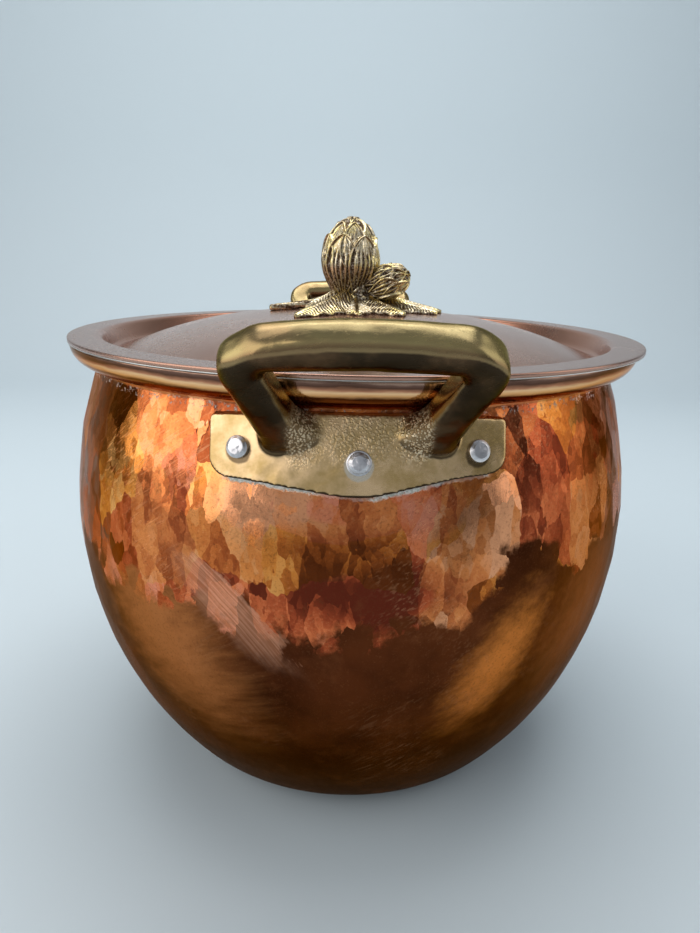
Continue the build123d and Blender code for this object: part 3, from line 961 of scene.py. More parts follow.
def budMesh(bud):
    # A bud's radius at share h of its height is its bare profile plus the highest bract over that point.
    # A bract stands off by its row's step, a low crown, fan ribs and a raised edge, less a cup near its tip and a
    # tuck that takes one of its sides under the next bract. u is 0 at its middle and 1 at its sides.
    b = bractRelief
    h = 0.5 - 0.5 * np.cos(np.linspace(0.12, np.pi - 0.02, bud["rows"]))
    h = (h - h[0]) / (h[-1] - h[0]) * 0.998
    turns = np.linspace(-np.pi, np.pi, bud["columns"], endpoint=False)
    up = np.clip((h - 0.45) / 0.55, 0, 1)
    low = bud["foot"] + (1 - bud["foot"]) * np.sin(np.pi / 2 * np.clip(h / 0.45, 0, 1))**1.3
    bare = bud["radius"] * np.where(h < 0.45, low, (1 - up**bud["fullness"])**0.42)
    bare = np.maximum(bare - 2.35 * mm * smoothRise(1 - h, 0, 0.03), 0)
    stand = np.zeros((len(h), len(turns)))
    recess = np.ones_like(stand)
    for count, heading, foot, tip, halfWidth, step in bud["bracts"]:
        along = (h - foot) / (tip - foot)
        lower = 0.5 + 0.5 * np.sin(np.pi / 2 * np.clip(along / 0.5, 0, 1))
        upper = np.sqrt(np.clip(1 - (np.clip(along - 0.5, 0, None) / 0.5)**2.3, 0, None))
        width = math.radians(halfWidth) * np.where(along < 0.5, lower, upper)
        width = np.where((along < 0) | (along > 1), 0, width)[:, None]
        for number in range(count):
            middle = math.radians(heading + number * 360 / count)
            apart = (turns[None, :] - middle + np.pi) % (2 * np.pi) - np.pi
            u = np.abs(apart) / np.maximum(width, 1e-4)
            inward = (1 - u) * width * (bare + step)[:, None]
            inside = smoothRise(inward, -0.05 * mm, 0.45 * mm) * (u < 1)
            rib = np.cos(2 * np.pi * bud["ribs"] * apart / np.maximum(width, 1e-4))
            ribShare = smoothRise(inward, 1.1 * mm, 1.9 * mm) * smoothRise(1 - along, 0.10, 0.34)[:, None]
            edge = np.exp(-((inward - b["edgeInset"]) / b["edgeWidth"])**2)
            cup = b["cup"] * smoothRise(inward, 0.9 * mm, 2.4 * mm) * smoothRise(along, 0.45, 0.8)[:, None]
            crown = b["crown"] * (1 - np.clip(u, 0, 1)**2) - cup
            tuck = -b["tuck"] * np.clip(apart / np.maximum(width, 1e-4), -1, 1)
            ribbed = (b["rib"] * rib - b["rib"] / 2) * ribShare
            lift = np.maximum(step + crown + tuck + ribbed + b["edge"] * edge, 0) * inside
            higher = lift > stand
            # Dirt lies between the ribs, at the border, in the groove behind the raised edge, and at the foot.
            hollow = 0.5 - 0.5 * rib
            atFoot = (1 - smoothRise(along, 0.15, 0.75))[:, None] * 0.35
            atBorder = 1 - smoothRise(inward, 0.1 * mm, 0.4 * mm)
            groove = np.exp(-((inward - b["grooveInset"]) / b["grooveWidth"])**2)
            stain = np.clip(hollow * ribShare * 0.85 + atBorder + 0.7 * groove + atFoot, 0, 1)
            recess = np.where(higher & (inside > 0.02), stain, recess)
            stand = np.maximum(stand, lift)
    radius = bare[:, None] + stand * smoothRise(1 - h, 0.0, 0.05)[:, None]
    z = np.broadcast_to((h * bud["height"])[:, None], radius.shape)
    ring = np.stack([radius * np.sin(turns), -radius * np.cos(turns), z], axis=-1)
    ends = np.array([[0, 0, 0], [0, 0, bud["height"]]])
    points = np.concatenate([ring.reshape(-1, 3), ends])
    leanX, leanY = (math.radians(angle) for angle in bud["lean"])
    aboutY = np.array([[math.cos(leanY), 0, math.sin(leanY)], [0, 1, 0], [-math.sin(leanY), 0, math.cos(leanY)]])
    aboutX = np.array([[1, 0, 0], [0, math.cos(leanX), -math.sin(leanX)], [0, math.sin(leanX), math.cos(leanX)]])
    points = points @ (aboutX @ aboutY).T + np.array(bud["place"]) + np.array([lid["shift"], 0, domeHeight])
    return points, turnedFaces(*radius.shape), np.append(recess.ravel(), [1, 0])


def leafMesh(heading, length, width, rootLift, seed):
    # A leaf's top over (share along, u across) is the dome plus an edge, a crown that falls away from the root,
    # a midrib, slanting veins and a wavy border. Its underside lies on the dome.
    f = leafRelief
    along = np.linspace(0.1, 1, f["rows"])[:, None]
    u = np.linspace(-1, 1, f["columns"])[None, :]
    rng = np.random.default_rng(seed)
    spread = np.interp(along, *f["spread"])
    waves = np.sin(2 * np.pi * (along * f["waves"] + rng.uniform()))
    half = width / 2 * spread * (1 + f["waveShare"] * waves * smoothRise(along, 0.15, 0.35))
    crown = np.interp(along, *f["crown"])
    sway = f["sway"] * np.sin(2.2 * along + rng.uniform(0, 6)) * along
    x = along * length + 0 * u
    y = u * half + sway
    away = np.abs(u) * half
    border = smoothRise(np.abs(u), 0.72, 1)
    tent = 1 - np.abs(u)**1.35
    rib = np.exp(-(away / f["midribWidth"])**2) * (0.6 - 0.4 * along)
    slant = (along * length - 0.6 * away) / f["veinPitch"]
    slant = slant + 0.35 * np.sin(5 * along + 4 * u + seed) + 0.18 * np.sin(23 * along - 9 * u)
    vein = np.cos(2 * np.pi * slant) * smoothRise(away, 0.1 * mm, 1.6 * mm) * (1 - 0.75 * border)
    ripple = np.sin(2 * np.pi * (along * f["waves"] + 0.25 * np.sign(u)) + seed) * border
    top = f["edge"] + crown * rootLift * tent + rib * f["midrib"] + f["vein"] * vein + f["ripple"] * ripple
    top = np.maximum(top, f["least"])
    recess = np.clip(0.5 - 0.5 * vein, 0, 1) * smoothRise(away, 0.4 * mm, 1.4 * mm) * 0.9
    radius = np.hypot(x, y)
    base = crownCentre[1] + np.sqrt(lid["crownCurve"]**2 - radius**2)
    upper = np.stack([x, y, base + top], axis=-1)
    lower = np.stack([x, y, base - 0.05 * mm], axis=-1)
    points = turnedPoints(np.concatenate([upper.reshape(-1, 3), lower.reshape(-1, 3)]), heading)
    points[:, 0] += lid["shift"]
    faces = slabFaces(*x.shape)[:, ::-1].tolist()
    return points, faces, np.append(recess.ravel(), np.ones(x.size))


def moundMesh():
    # The root of the casting: a profile that falls from the trunk to the dome, roughened by random relief.
    f = finial
    share = np.linspace(0, 1, 60)[:, None]
    turns = np.linspace(0, 2 * np.pi, 150, endpoint=False)
    radius = f["trunkRadius"] + (f["moundRadius"] - f["trunkRadius"]) * (1 - share)**2.1
    radius = radius * (1 + 0.06 * np.sin(5 * turns + 1) * (1 - share))
    x, y = radius * np.cos(turns), radius * np.sin(turns)
    base = crownCentre[1] + np.sqrt(lid["crownCurve"]**2 - radius**2)
    z = base + f["moundHeight"] * share * 1.12
    ring = np.stack([x, y, z], axis=-1)
    rough = bumps(ring.reshape(-1, 3), 2.3 * mm, 21, 40).reshape(x.shape)
    ring[..., :2] *= (1 + 0.045 * rough * smoothRise(share, 0.02, 0.2))[..., None]
    ends = np.array([[0, 0, domeHeight - 0.05 * mm], [0, 0, domeHeight + f["moundHeight"] * 1.12]])
    points = np.concatenate([ring.reshape(-1, 3), ends])
    points[:, 0] += lid["shift"]
    return points, turnedFaces(*x.shape), np.append(np.clip(0.6 - 0.6 * rough, 0, 1).ravel(), [1, 1])


def stemMesh():
    # A tapering round stub towards -X with a blunt end and low rings.
    f = finial
    path = linePoints((-f["stemLength"] + lid["shift"], 0, domeHeight - 2 * mm + f["stemTipRise"]),
                      (-f["trunkRadius"] + lid["shift"], 0, domeHeight + f["stemRootRise"]), 90)
    share = np.linspace(0, 1, 90)[:, None]
    turns = np.linspace(0, 2 * np.pi, 40, endpoint=False)
    radius = f["stemTipRadius"] + (f["stemRootRadius"] - f["stemTipRadius"]) * share
    radius = radius * np.sqrt(np.clip(1 - (1 - np.clip(share / 0.03, 0, 1))**2, 0.15, 1))
    ring = 1 + 0.018 * np.sin(2 * np.pi * share * 11) + 0.05 * np.sin(3 * turns + 14 * share)
    outline = np.stack([radius * ring * np.cos(turns), radius * ring * np.sin(turns)], axis=-1)
    points, faces = tubeMesh(path, np.array([0, 1.0, 0]), outline)
    recess = np.clip(0.5 - 8 * (ring - 1), 0, 1)
    return points, faces, np.append(recess.ravel(), [0.3, 1])


def makeFinial():
    # One casting, shown as five pieces that cross each other.
    made = []
    body = [moundMesh(), stemMesh()]
    foliage = [leafMesh(*leaf, seed) for seed, leaf in enumerate(leaves)]
    shown = {
        "finialBud": [budMesh(bigBud)], "finialSideBud": [budMesh(sideBud)],
        "finialFrontLeaves": foliage[:5], "finialRearLeaves": foliage[5:], "finialRoot": body,
    }
    for name, parts in shown.items():
        vertices, faces = joinMeshes([part[:2] for part in parts])
        piece = newPiece(name, vertices, faces)
        addAttribute(piece, "recess", np.concatenate([part[2] for part in parts]))
        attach(piece, "lid")
        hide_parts("finial")
        made.append(piece)
    return made


finialPieces = makeFinial()
print("Finial made")


# Finishes

blows = {
    # Each kind of mark: width, width over height, how far it leans, and its share of the tone.
    "group": (20 * mm, 0.62, 0.12, 0.44),
    "mark": (7.8 * mm, 0.50, 0.11, 0.34),
    "fine": (3.0 * mm, 0.60, 0.05, 0.13),
    "flat": 0.55,
    # The tones are painted reflections: each mark's colour is lighter or darker for the part of the room it
    # mirrors.
    "tones": [
        (0.22, (0.130, 0.028, 0.011)), (0.38, (0.35, 0.078, 0.024)), (0.50, (0.56, 0.150, 0.044)),
        (0.62, (0.76, 0.250, 0.075)), (0.78, (0.85, 0.370, 0.180)),
    ],
}
# Areas where the marks are painted brighter or darker, as painted reflections: heading and height of the centre,
# half length, half width, slant in degrees, the change of tone, and how much redder they are.
paintedReflectionAreas = [
    (-2, 156 * mm, 36 * mm, 12 * mm, 0, 0.32, 0.50),
    (2, 126 * mm, 30 * mm, 13 * mm, 0, -0.36, 0.25),
    (25, 142 * mm, 18 * mm, 18 * mm, 0, 0.20, 0.10),
    (-34, 172 * mm, 24 * mm, 16 * mm, 0, 0.05, -0.20),
]
# Browner copper below the marks, its own brushed brown darkened further as a painted dark reflection, and three
# areas in it that are painted glows of reflected light: heading and height of the centre, half length, half width,
# slant in degrees, strength, and colour. The scuff is one more area given the same way. The border and the dark
# foot, a painted shade that darkens towards the bottom, each fade between two heights.
brownCopperAndPaintedLight = {
    "border": (113.5 * mm, 119.5 * mm),
    "dark": (0.037, 0.0090, 0.0037),
    "light": (0.122, 0.031, 0.0095),
    "foot": (0.011, 0.0030, 0.0014),
    "footFade": (12 * mm, 75 * mm),
    "paintedGlows": [
        (45, 106 * mm, 46 * mm, 24 * mm, -62, 0.40, (0.52, 0.165, 0.055)),
        (-33, 98 * mm, 60 * mm, 30 * mm, 56, 0.73, (0.60, 0.215, 0.070)),
        (24, 92 * mm, 36 * mm, 16 * mm, -60, 0.80, (0.82, 0.262, 0.054)),
    ],
    "scuff": (-21.0, 121 * mm, 29 * mm, 9.5 * mm, 41, 0.62),
}
# Painted bands of reflection, highlight and shade on the rolled rim, from its neck to its lip.
rimPaintedBands = [
    (0.00, (0.58, 0.20, 0.070)), (0.10, (0.10, 0.028, 0.012)), (0.26, (0.26, 0.088, 0.034)),
    (0.36, (0.09, 0.028, 0.014)), (0.48, (0.84, 0.42, 0.16)), (0.60, (0.92, 0.57, 0.30)),
    (0.70, (0.46, 0.20, 0.11)), (0.82, (0.10, 0.048, 0.032)), (0.92, (0.16, 0.085, 0.062)),
    (1.00, (0.48, 0.30, 0.22)),
]
# Smaller marks on the copper. Where a row has two colours, a pattern blends them.
patina = {
    "speck": (0.130, 0.042, 0.017),
    "fleck": (0.86, 0.40, 0.17),
    "tarnish": (0.20, 0.062, 0.022),
    "brushed": (0.80, 0.40, 0.20),
    "scuff": ((0.46, 0.185, 0.095), (0.74, 0.36, 0.22)),
    "crust": ((0.58, 0.59, 0.52), (0.95, 0.92, 0.86)),
}
# The lid's copper, and the radii at which its channel and its flange begin.
lidCopperLook = {
    "dome": ((0.50, 0.290, 0.215), (0.60, 0.365, 0.280)),
    "channel": (0.40, 0.175, 0.105),
    "channelStart": (98 * mm, 107 * mm),
    "flange": (0.44, 0.265, 0.200),
    "flangeStart": (116 * mm, 119 * mm),
}
handleLook = {
    # Painted light and shade by facing: dark facing down, lighter facing up, dimmer on top.
    "paintedShadeFacingDown": (0.042, 0.028, 0.017),
    "facingOut": (0.27, 0.185, 0.090),
    "paintedReflectionFacingUp": (0.37, 0.290, 0.130),
    "top": (0.185, 0.145, 0.078),
    "reddish": (0.27, 0.150, 0.075),
    "plate": ((0.50, 0.335, 0.135), (0.82, 0.57, 0.320)),
    # Painted shade on the plate's lower edge, where it faces down.
    "plateLowEdge": (0.045, 0.028, 0.016),
    # Painted shade in a ring around each side rivet.
    "paintedShadeRing": (0.055, 0.036, 0.022),
    "paleRing": (0.66, 0.62, 0.53),
    "pebbles": ((0.84, 0.68, 0.47), (0.26, 0.175, 0.095)),
    "sheen": (0.75, 0.62, 0.42),
}
finialLook = {
    "ridge": ((0.44, 0.345, 0.205), (0.84, 0.71, 0.47)),
    "goldenRidge": (0.90, 0.72, 0.29),
    "recess": (0.070, 0.041, 0.021),
    "dust": (0.80, 0.74, 0.64),
    "sheen": (0.75, 0.64, 0.46),
}
tinTones = ((0.55, 0.54, 0.51), (0.72, 0.71, 0.68))
rivetTones = ((0.50, 0.49, 0.51), (0.82, 0.79, 0.80))


def areaPlace(p, heading, height, area):
    # Where a point of the wall lies in a slanted ellipse: its distance from the middle, which is 1 on the ellipse
    # itself, and its places along and across.
    middle, level, length, width, slant = area[:5]
    aside = (heading - math.radians(middle)) * vessel["bellyRadius"]
    up = height - level
    turn = math.radians(slant)
    along = aside * math.cos(turn) - up * math.sin(turn)
    across = aside * math.sin(turn) + up * math.cos(turn)
    away = p.maths("SQRT", (along / length)**2 + (across / width)**2)
    return away, along, across


def blowMarks(p, place):
    # Marks in three sizes, each a cell of a stretched, wandering Voronoi pattern. Gives their lean, their tone and
    # hue, which paint a lighter or darker reflection on each mark, and the centre and the random colour of the
    # middle size's cell.
    leans, tone = None, 0.02
    for kind in ("group", "mark", "fine"):
        size, tall, lean, share = blows[kind]
        query = p.wavering(p.stretched(place, (1, 1, tall)), 0.9 / size, size * 1.05, 4.0, 0.56)
        own = p.cells(query, 1 / size, "Color")
        leaned = p.centred(own, lean)
        leans = leaned if leans is None else p.vector("ADD", leans, leaned)
        tone = p.axis(own, "X") * share + tone
        if kind == "group":
            hue = p.axis(own, "Z")
        if kind == "mark":
            toCentre = p.vector("SUBTRACT", p.cells(query, 1 / size, "Position"), query)
            centre = p.vector("ADD", place, p.vector("MULTIPLY", toCentre, (1, 1, 1 / tall)))
            lone = own
    return leans, tone, hue, centre, lone


def leanedNormal(p, leans, centre, onSide):
    # All over a mark, the normal is the wall's normal at the mark's centre, leaned by the mark's own amount.
    around = p.vector("MULTIPLY", centre, (1, 1, 0))
    reach = p.vector("LENGTH", around, output="Value")
    below = p.vector("SUBTRACT", centre, (0, 0, float(sideCentre[1])))
    sideways = p.scaled(around, 1 - float(sideCentre[0]) / reach)
    wallNormal = p.vector("ADD", sideways, p.vector("MULTIPLY", below, (0, 0, 1)))
    flat = p.scaled(p.vector("SUBTRACT", p.vector("NORMALIZE", wallNormal), p.normal()), blows["flat"])
    turned = p.scaled(p.vector("ADD", leans, flat), onSide)
    return p.vector("NORMALIZE", p.vector("ADD", p.normal(), turned))


def scuffPatch(p, place, heading, height, inner):
    # One patch of long slanting scratches, sharp along its upper side and faded along its lower one. Gives its
    # share and its lines.
    away, along, aside = areaPlace(p, heading, height, brownCopperAndPaintedLight["scuff"])
    bent = aside + along * along * 4.0
    lines = p.noise(p.node("ShaderNodeCombineXYZ", {}, {"X": along * 30, "Y": bent * 980}), 1, 3, 0.6)
    torn = p.noise(place, 70, 4, 0.6) - 0.5
    away = away + torn * 1.2 + (lines - 0.5) * 0.4 - along * 9
    patch = p.mix(p.ramp(aside, -0.004, 0.003), 1 - p.ramp(away, 0.30, 1.25), 1 - p.ramp(away, 0.72, 0.86))
    return p.axis(patch, "X") * inner, lines


def paleCrust(p, place, height, across, inner):
    # Pale residue under the plate's lower edge, which is the same curve as its mesh's, and along the neck. Gives
    # its share and its crumbs.
    sideways = across * p.maths("SIGN", 0 - p.axis(place, "Y"))
    places = np.linspace(-49, 49, 29) * mm
    stops = [((x + 50 * mm) / (100 * mm), (float(plateLowEdge(x) - 155 * mm) / (20 * mm),) * 3) for x in places]
    edge = p.axis(p.tones(sideways * 10 + 0.5, stops), "X") * 0.020 + 0.155
    crumbs = p.noise(place, 520, 4, 0.7)
    drop = edge - height + (crumbs - 0.5) * 0.0030 + (p.noise(place, 110, 2) - 0.5) * 0.0028
    crust = p.ramp(drop, -0.0002, 0.0002) * (1 - p.ramp(drop, 0.0016, 0.0024))
    crust = crust * (1 - p.ramp(p.maths("ABSOLUTE", sideways), 0.0415, 0.046)) * p.ramp(crumbs, 0.28, 0.42)
    crust = crust * (0.25 + 0.75 * p.ramp(p.noise(place, 75, 3, 0.6), 0.40, 0.52))
    neck = p.ramp(height, 0.1838, 0.1850) * (1 - p.ramp(height, 0.1868, 0.1876)) * p.ramp(crumbs, 0.54, 0.66)
    return p.clamp(crust + neck * 0.55) * inner, crumbs


def hammeredCopper():
    # Polished copper above the belly, whose blow marks each mirror another part of the room and carry a painted
    # reflection in their colour, and browner brushed copper below it, up to a ragged border, darkened by a painted
    # dark reflection, with painted glows and painted shade towards the foot.
    p = newPaint("hammeredCopper")
    place = p.place()
    height = p.axis(place, "Z")
    across = p.axis(place, "X")
    heading = p.maths("ARCTAN2", across, 0 - p.axis(place, "Y"))
    leans, tone, hue, centre, lone = blowMarks(p, place)
    broad = p.noise(place, 15, 2, 0.5)
    tone = tone + (broad - 0.5) * 0.42
    # Painted reflections: areas where the marks are painted brighter or darker.
    for area in paintedReflectionAreas:
        share = 1 - p.ramp(areaPlace(p, heading, height, area)[0], 0.3, 1.3)
        tone = share * area[5] + tone
        hue = hue - share * area[6]
    cloud = p.noise(place, 26, 4, 0.6)
    ragged = (p.axis(lone, "Y") - 0.5) * 0.012 + (p.noise(place, 34, 6, 0.62) - 0.5) * 0.050
    step = 0.017 * p.ramp(heading, 0.24, 0.44)
    low = 1 - p.ramp(height + ragged - step, *brownCopperAndPaintedLight["border"])
    rim = p.ramp(height, 0.1865, 0.189)
    inner = p.ramp(p.fromAxis(place), 0.1, 0.101)
    turned = leanedNormal(p, leans, centre, (1 - rim) * (1 - low * 0.85) * inner)
    # The marks' colours are painted reflections, lighter and darker from mark to mark.
    bright = p.tones(tone, blows["tones"])
    bright = p.mix(p.ramp(hue, 0.70, 0.74), bright, (1.0, 1.06, 0.66), "MULTIPLY")
    bright = p.mix(1 - p.ramp(hue, 0.36, 0.40), bright, (1.0, 0.78, 0.92), "MULTIPLY")
    # The brown is partly the copper's own colour and partly a painted dark reflection.
    brown = p.mix(p.ramp(cloud, 0.3, 0.7), brownCopperAndPaintedLight["dark"], brownCopperAndPaintedLight["light"])
    wisps = p.noise(p.stretched(p.rotated(place, (0.5, 0.2, 0.4)), (30, 210, 210)), 1, 4, 0.65)
    # Painted glows: patches of reflected light painted into the brown.
    for area in brownCopperAndPaintedLight["paintedGlows"]:
        away = areaPlace(p, heading, height, area)[0]
        share = (1 - p.ramp(away + (wisps - 0.5) * 0.9 + (cloud - 0.5) * 0.5, 0.12, 1.22)) * area[5]
        brown = p.mix(share, brown, area[6])
    # Painted shade: the copper is darker towards the bottom.
    footShare = 1 - p.ramp(height + (cloud - 0.5) * 0.03, *brownCopperAndPaintedLight["footFade"])
    brown = p.mix(footShare, brown, brownCopperAndPaintedLight["foot"])
    colour = p.mix(low, bright, brown)
    # The rolled rim is coloured with painted bands of reflection, highlight and shade.
    wave = p.noise(p.stretched(place, (1, 1, 6)), 24, 5, 0.62) - 0.5
    rimPlace = (height - 0.1885) / 0.0097 + wave * 0.42
    colour = p.mix(rim, colour, p.tones(rimPlace, rimPaintedBands))
    # Specks, tarnish and fine scratches in two slanting ways.
    specks = p.noise(place, 950, 3, 0.7)
    colour = p.mix(p.ramp(specks, 0.52, 0.70) * 0.42 * (1 - rim), colour, patina["speck"])
    flecks = p.ramp(0 - specks, -0.46, -0.30) * 0.24 * (1 - rim) * (1 - low * 0.8) * p.ramp(tone, 0.22, 0.50)
    colour = p.mix(flecks, colour, patina["fleck"])
    tarnish = p.ramp(p.noise(place, 60, 5, 0.65), 0.52, 0.72) * 0.4 * (1 - rim)
    colour = p.mix(tarnish, colour, patina["tarnish"])
    scuffs = p.noise(p.stretched(p.rotated(place, (0.0, 0.62, 0.3)), (45, 1100, 1100)), 1, 2, 0.5)
    brushed = p.ramp(scuffs, 0.50, 0.70) * p.ramp(p.noise(place, 22, 3), 0.48, 0.66) * (1 - rim)
    colour = p.mix(brushed * (0.26 - low * 0.14), colour, patina["brushed"])
    patch, lines = scuffPatch(p, place, heading, height, inner)
    pale = p.mix(p.ramp(lines, 0.38, 0.60), *patina["scuff"])
    colour = p.mix(patch * brownCopperAndPaintedLight["scuff"][5], colour, pale)
    crust, crumbs = paleCrust(p, place, height, across, inner)
    colour = p.mix(crust, colour, p.mix(p.ramp(specks, 0.4, 0.6), *patina["crust"]))
    haze = p.noise(p.stretched(place, (1, 1, 0.22)), 330, 3, 0.65)
    roughness = 0.13 + low * 0.19 + (1 - rim) * (haze * 0.12 + cloud * 0.04 + brushed * 0.15)
    roughness = roughness + crust * 0.5 + patch * 0.12
    scratch = p.noise(p.stretched(place, (160, 160, 14)), 6, 2, 0.5)
    relief = p.bump(scratch, 0.00004, 0.5, turned)
    relief = p.bump(specks, 0.00004, 0.5, relief)
    relief = p.bump(lines * patch, 0.00012, 0.5, relief)
    relief = p.bump(crust * crumbs, 0.0004, 0.6, relief)
    return p.finish(Base_Color=colour, Metallic=1 - crust * 0.9, Roughness=p.clamp(roughness), Normal=relief,
                    Specular_Tint=(0.80, 0.55, 0.42))


def satinCopper():
    # The lid's copper, redder in the channel and on the flange.
    p = newPaint("satinCopper")
    place = p.place()
    cloud = p.noise(place, 18, 4, 0.6)
    colour = p.mix(p.ramp(cloud, 0.3, 0.7), *lidCopperLook["dome"])
    reach = p.fromAxis(place) + (cloud - 0.5) * 0.012
    for band in ("channel", "flange"):
        colour = p.mix(p.ramp(reach, *lidCopperLook[band + "Start"]) * 0.7, colour, lidCopperLook[band])
    scratch = p.noise(place, 600, 2, 0.6)
    roughness = p.clamp(0.22 + cloud * 0.09 + (scratch - 0.5) * 0.05)
    return p.finish(Base_Color=colour, Metallic=1.0, Roughness=roughness, Normal=p.bump(scratch, 0.00001, 0.3))


def wipedTin():
    # Tin wiped on by hand, in soft clouds.
    p = newPaint("wipedTin")
    place = p.place()
    cloud = p.noise(p.stretched(place, (1, 1, 0.4)), 30, 4, 0.6)
    colour = p.mix(p.ramp(cloud, 0.3, 0.7), *tinTones)
    roughness = p.clamp(0.28 + cloud * 0.18)
    return p.finish(Base_Color=colour, Metallic=1.0, Roughness=roughness, Normal=p.bump(cloud, 0.0003, 0.4))


def castBrass():
    # Coloured by which way the surface faces: painted shade where it faces down, a painted reflection where it
    # faces up, and dimmer on top, where the painted reflection is toned down. Paler on the plate, with painted
    # shade in a ring around the side rivets and a pale ring around the centre one. The cast skin is left pebbled
    # between the feet.
    p, look = newPaint("castBrass"), handleLook
    place = p.place()
    cloud = p.noise(place, 45, 4, 0.6)
    # Painted shade facing down, painted reflection facing up, and a dimmer top.
    facing = p.axis(p.normal(), "Z") + (cloud - 0.5) * 0.26
    onPlate = 1 - p.ramp(p.attribute("offWall") + (cloud - 0.5) * 0.06, 0.18, 0.26)
    colour = p.mix(p.ramp(facing, -0.40, -0.20), look["paintedShadeFacingDown"], look["facingOut"])
    colour = p.mix(p.ramp(facing, 0.05, 0.40), colour, look["paintedReflectionFacingUp"])
    colour = p.mix(p.ramp(facing, 0.48, 0.82) * 0.8, colour, look["top"])
    colour = p.mix(p.ramp(cloud, 0.42, 0.66) * 0.4, colour, look["reddish"])
    plate = p.mix(p.ramp(p.noise(place, 70, 5, 0.65), 0.35, 0.65), *look["plate"])
    # Painted shade: the plate is darkened where its lower edge faces down.
    plate = p.mix(1 - p.ramp(p.axis(p.normal(), "Z"), -0.02, 0.19), plate, look["plateLowEdge"])
    # Painted shade in a ring around each side rivet, and a pale crust ring around the centre one.
    for angle, height, size in ((rivet["sideAngle"], rivet["sideHeight"], rivet["headRadius"]),
                                (0, rivet["centreHeight"], rivet["collarRadius"])):
        reach = (float(sideRadius(height)) + handle["plateThickness"]) * math.sin(math.radians(angle))
        spread = (p.maths("ABSOLUTE", p.axis(place, "X")) - reach)**2 + (p.axis(place, "Z") - height)**2
        away = p.maths("SQRT", spread) + (p.noise(place, 600, 3, 0.6) - 0.5) * 0.0008
        gap = 0.0001 if angle else 0.0002
        ring = look["paintedShadeRing"] if angle else look["paleRing"]
        plate = p.mix((1 - p.ramp(away, size + gap, size + gap + 0.0008)) * 0.8, plate, ring)
    colour = p.mix(onPlate, colour, plate)
    rough = p.attribute("rough")
    pebbles = p.cells(p.wavering(place, 620, 0.0011, 2.0), 1150)
    skin = p.ramp(pebbles + (p.noise(place, 420, 3) - 0.5) * 0.6, 0.30, 0.62)
    bare = p.clamp(rough * 1.35)
    colour = p.mix(bare * 0.80, colour, p.mix(skin, *look["pebbles"]))
    grain = p.noise(place, 500, 3, 0.7)
    slanting = p.stretched(p.rotated(place, (0, 0.35, 0.1)), (60, 1400, 1400))
    scratches = p.ramp(p.noise(slanting, 1, 2, 0.5), 0.5, 0.75)
    worn = p.ramp(p.noise(place, 24, 4, 0.6), 0.42, 0.62) * 0.10
    roughness = 0.12 + worn + cloud * 0.08 + (grain - 0.5) * 0.10 + scratches * 0.10 + bare * 0.22 + onPlate * 0.08
    relief = p.bump(grain, 0.00003, 0.5)
    relief = p.bump((1 - skin) * bare, 0.00035, 0.8, relief)
    return p.finish(Base_Color=colour, Metallic=1.0, Roughness=p.clamp(roughness), Normal=relief,
                    Specular_Tint=look["sheen"])


def antiqueBrass():
    # Dark recesses and brighter rubbed ridges, from the relief that each vertex carries.
    p, look = newPaint("antiqueBrass"), finialLook
    place = p.place()
    cloud = p.noise(place, 130, 4, 0.65)
    recess = p.ramp(p.attribute("recess") + (cloud - 0.5) * 0.9, 0.05, 0.75)
    ridge = p.mix(p.ramp(cloud, 0.42, 0.62), *look["ridge"])
    ridge = p.mix(p.ramp(p.noise(place, 75, 2, 0.5), 0.50, 0.60) * 0.7, ridge, look["goldenRidge"])
    colour = p.mix(recess, ridge, look["recess"])
    dust = p.ramp(p.noise(place, 1100, 3, 0.7), 0.50, 0.64) * 0.55
    colour = p.mix(dust, colour, look["dust"])
    grain = p.noise(place, 700, 4, 0.7)
    roughness = p.clamp(0.22 + recess * 0.3 + (grain - 0.5) * 0.2)
    return p.finish(Base_Color=colour, Metallic=1.0, Roughness=roughness, Normal=p.bump(grain, 0.00022, 0.7),
                    Specular_Tint=look["sheen"])


def rivetMetal():
    # A dull white metal, dented and scratched.
    p = newPaint("rivetMetal")
    place = p.place()
    cloud = p.noise(place, 200, 3, 0.6)
    colour = p.mix(p.ramp(cloud, 0.35, 0.65), *rivetTones)
    grain = p.noise(place, 900, 3, 0.7)
    relief = p.bump(cloud, 0.00012, 0.5, p.bump(grain, 0.00006, 0.6))
    return p.finish(Base_Color=colour, Metallic=1.0, Roughness=p.clamp(0.20 + grain * 0.22), Normal=relief)


def wear(piece, material):
    piece.data.materials.clear()
    piece.data.materials.append(material)


potCopper, lidSkin, tinFace = hammeredCopper(), satinCopper(), wipedTin()
brass, oldBrass, rivetFace = castBrass(), antiqueBrass(), rivetMetal()
for material, pieces in (
    (potCopper, [potShell]), (lidSkin, [lidCopper]), (tinFace, [potTin, lidTin]),
    (brass, [frontHandle, rearHandle]), (oldBrass, finialPieces), (rivetFace, rivets),
):
    for piece in pieces:
        wear(piece, material)
# The washer and the screw are shown by their own solids.
for node in ("finial_washer", "finial_screw"):
    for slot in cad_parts[node].material_slots:
        slot.material = rivetFace
print("Finishes made")


# Stage, light and camera

studio = {
    "floor": (0.57, 0.64, 0.675),
    "sky": (0.86, 0.93, 1.0),
    # The sky's strength at the horizon and overhead, and what is added in front of the pot.
    "horizon": 0.14,
    "overhead": 0.42,
    "front": 0.26,
}
# Each lamp: name, place, target, size, power, colour.
lamps = [
    ("keyLeft", (-1.05, -0.55, 0.70), (0, 0, 0.14), (1.7, 1.3), 12, (1.0, 0.98, 0.95)),
    ("fillRight", (1.15, -0.15, 0.60), (0, 0, 0.14), (0.8, 1.2), 2.8, (1, 1, 1)),
    ("top", (0, 0.25, 1.3), (0, 0.1, 0.1), (1.2, 0.9), 8, (1, 1, 1)),
    ("backdropWash", (0, 0.2, 1.5), (0, 1.3, 0.5), (1.4, 0.4), 7, (0.90, 0.96, 1.0)),
]


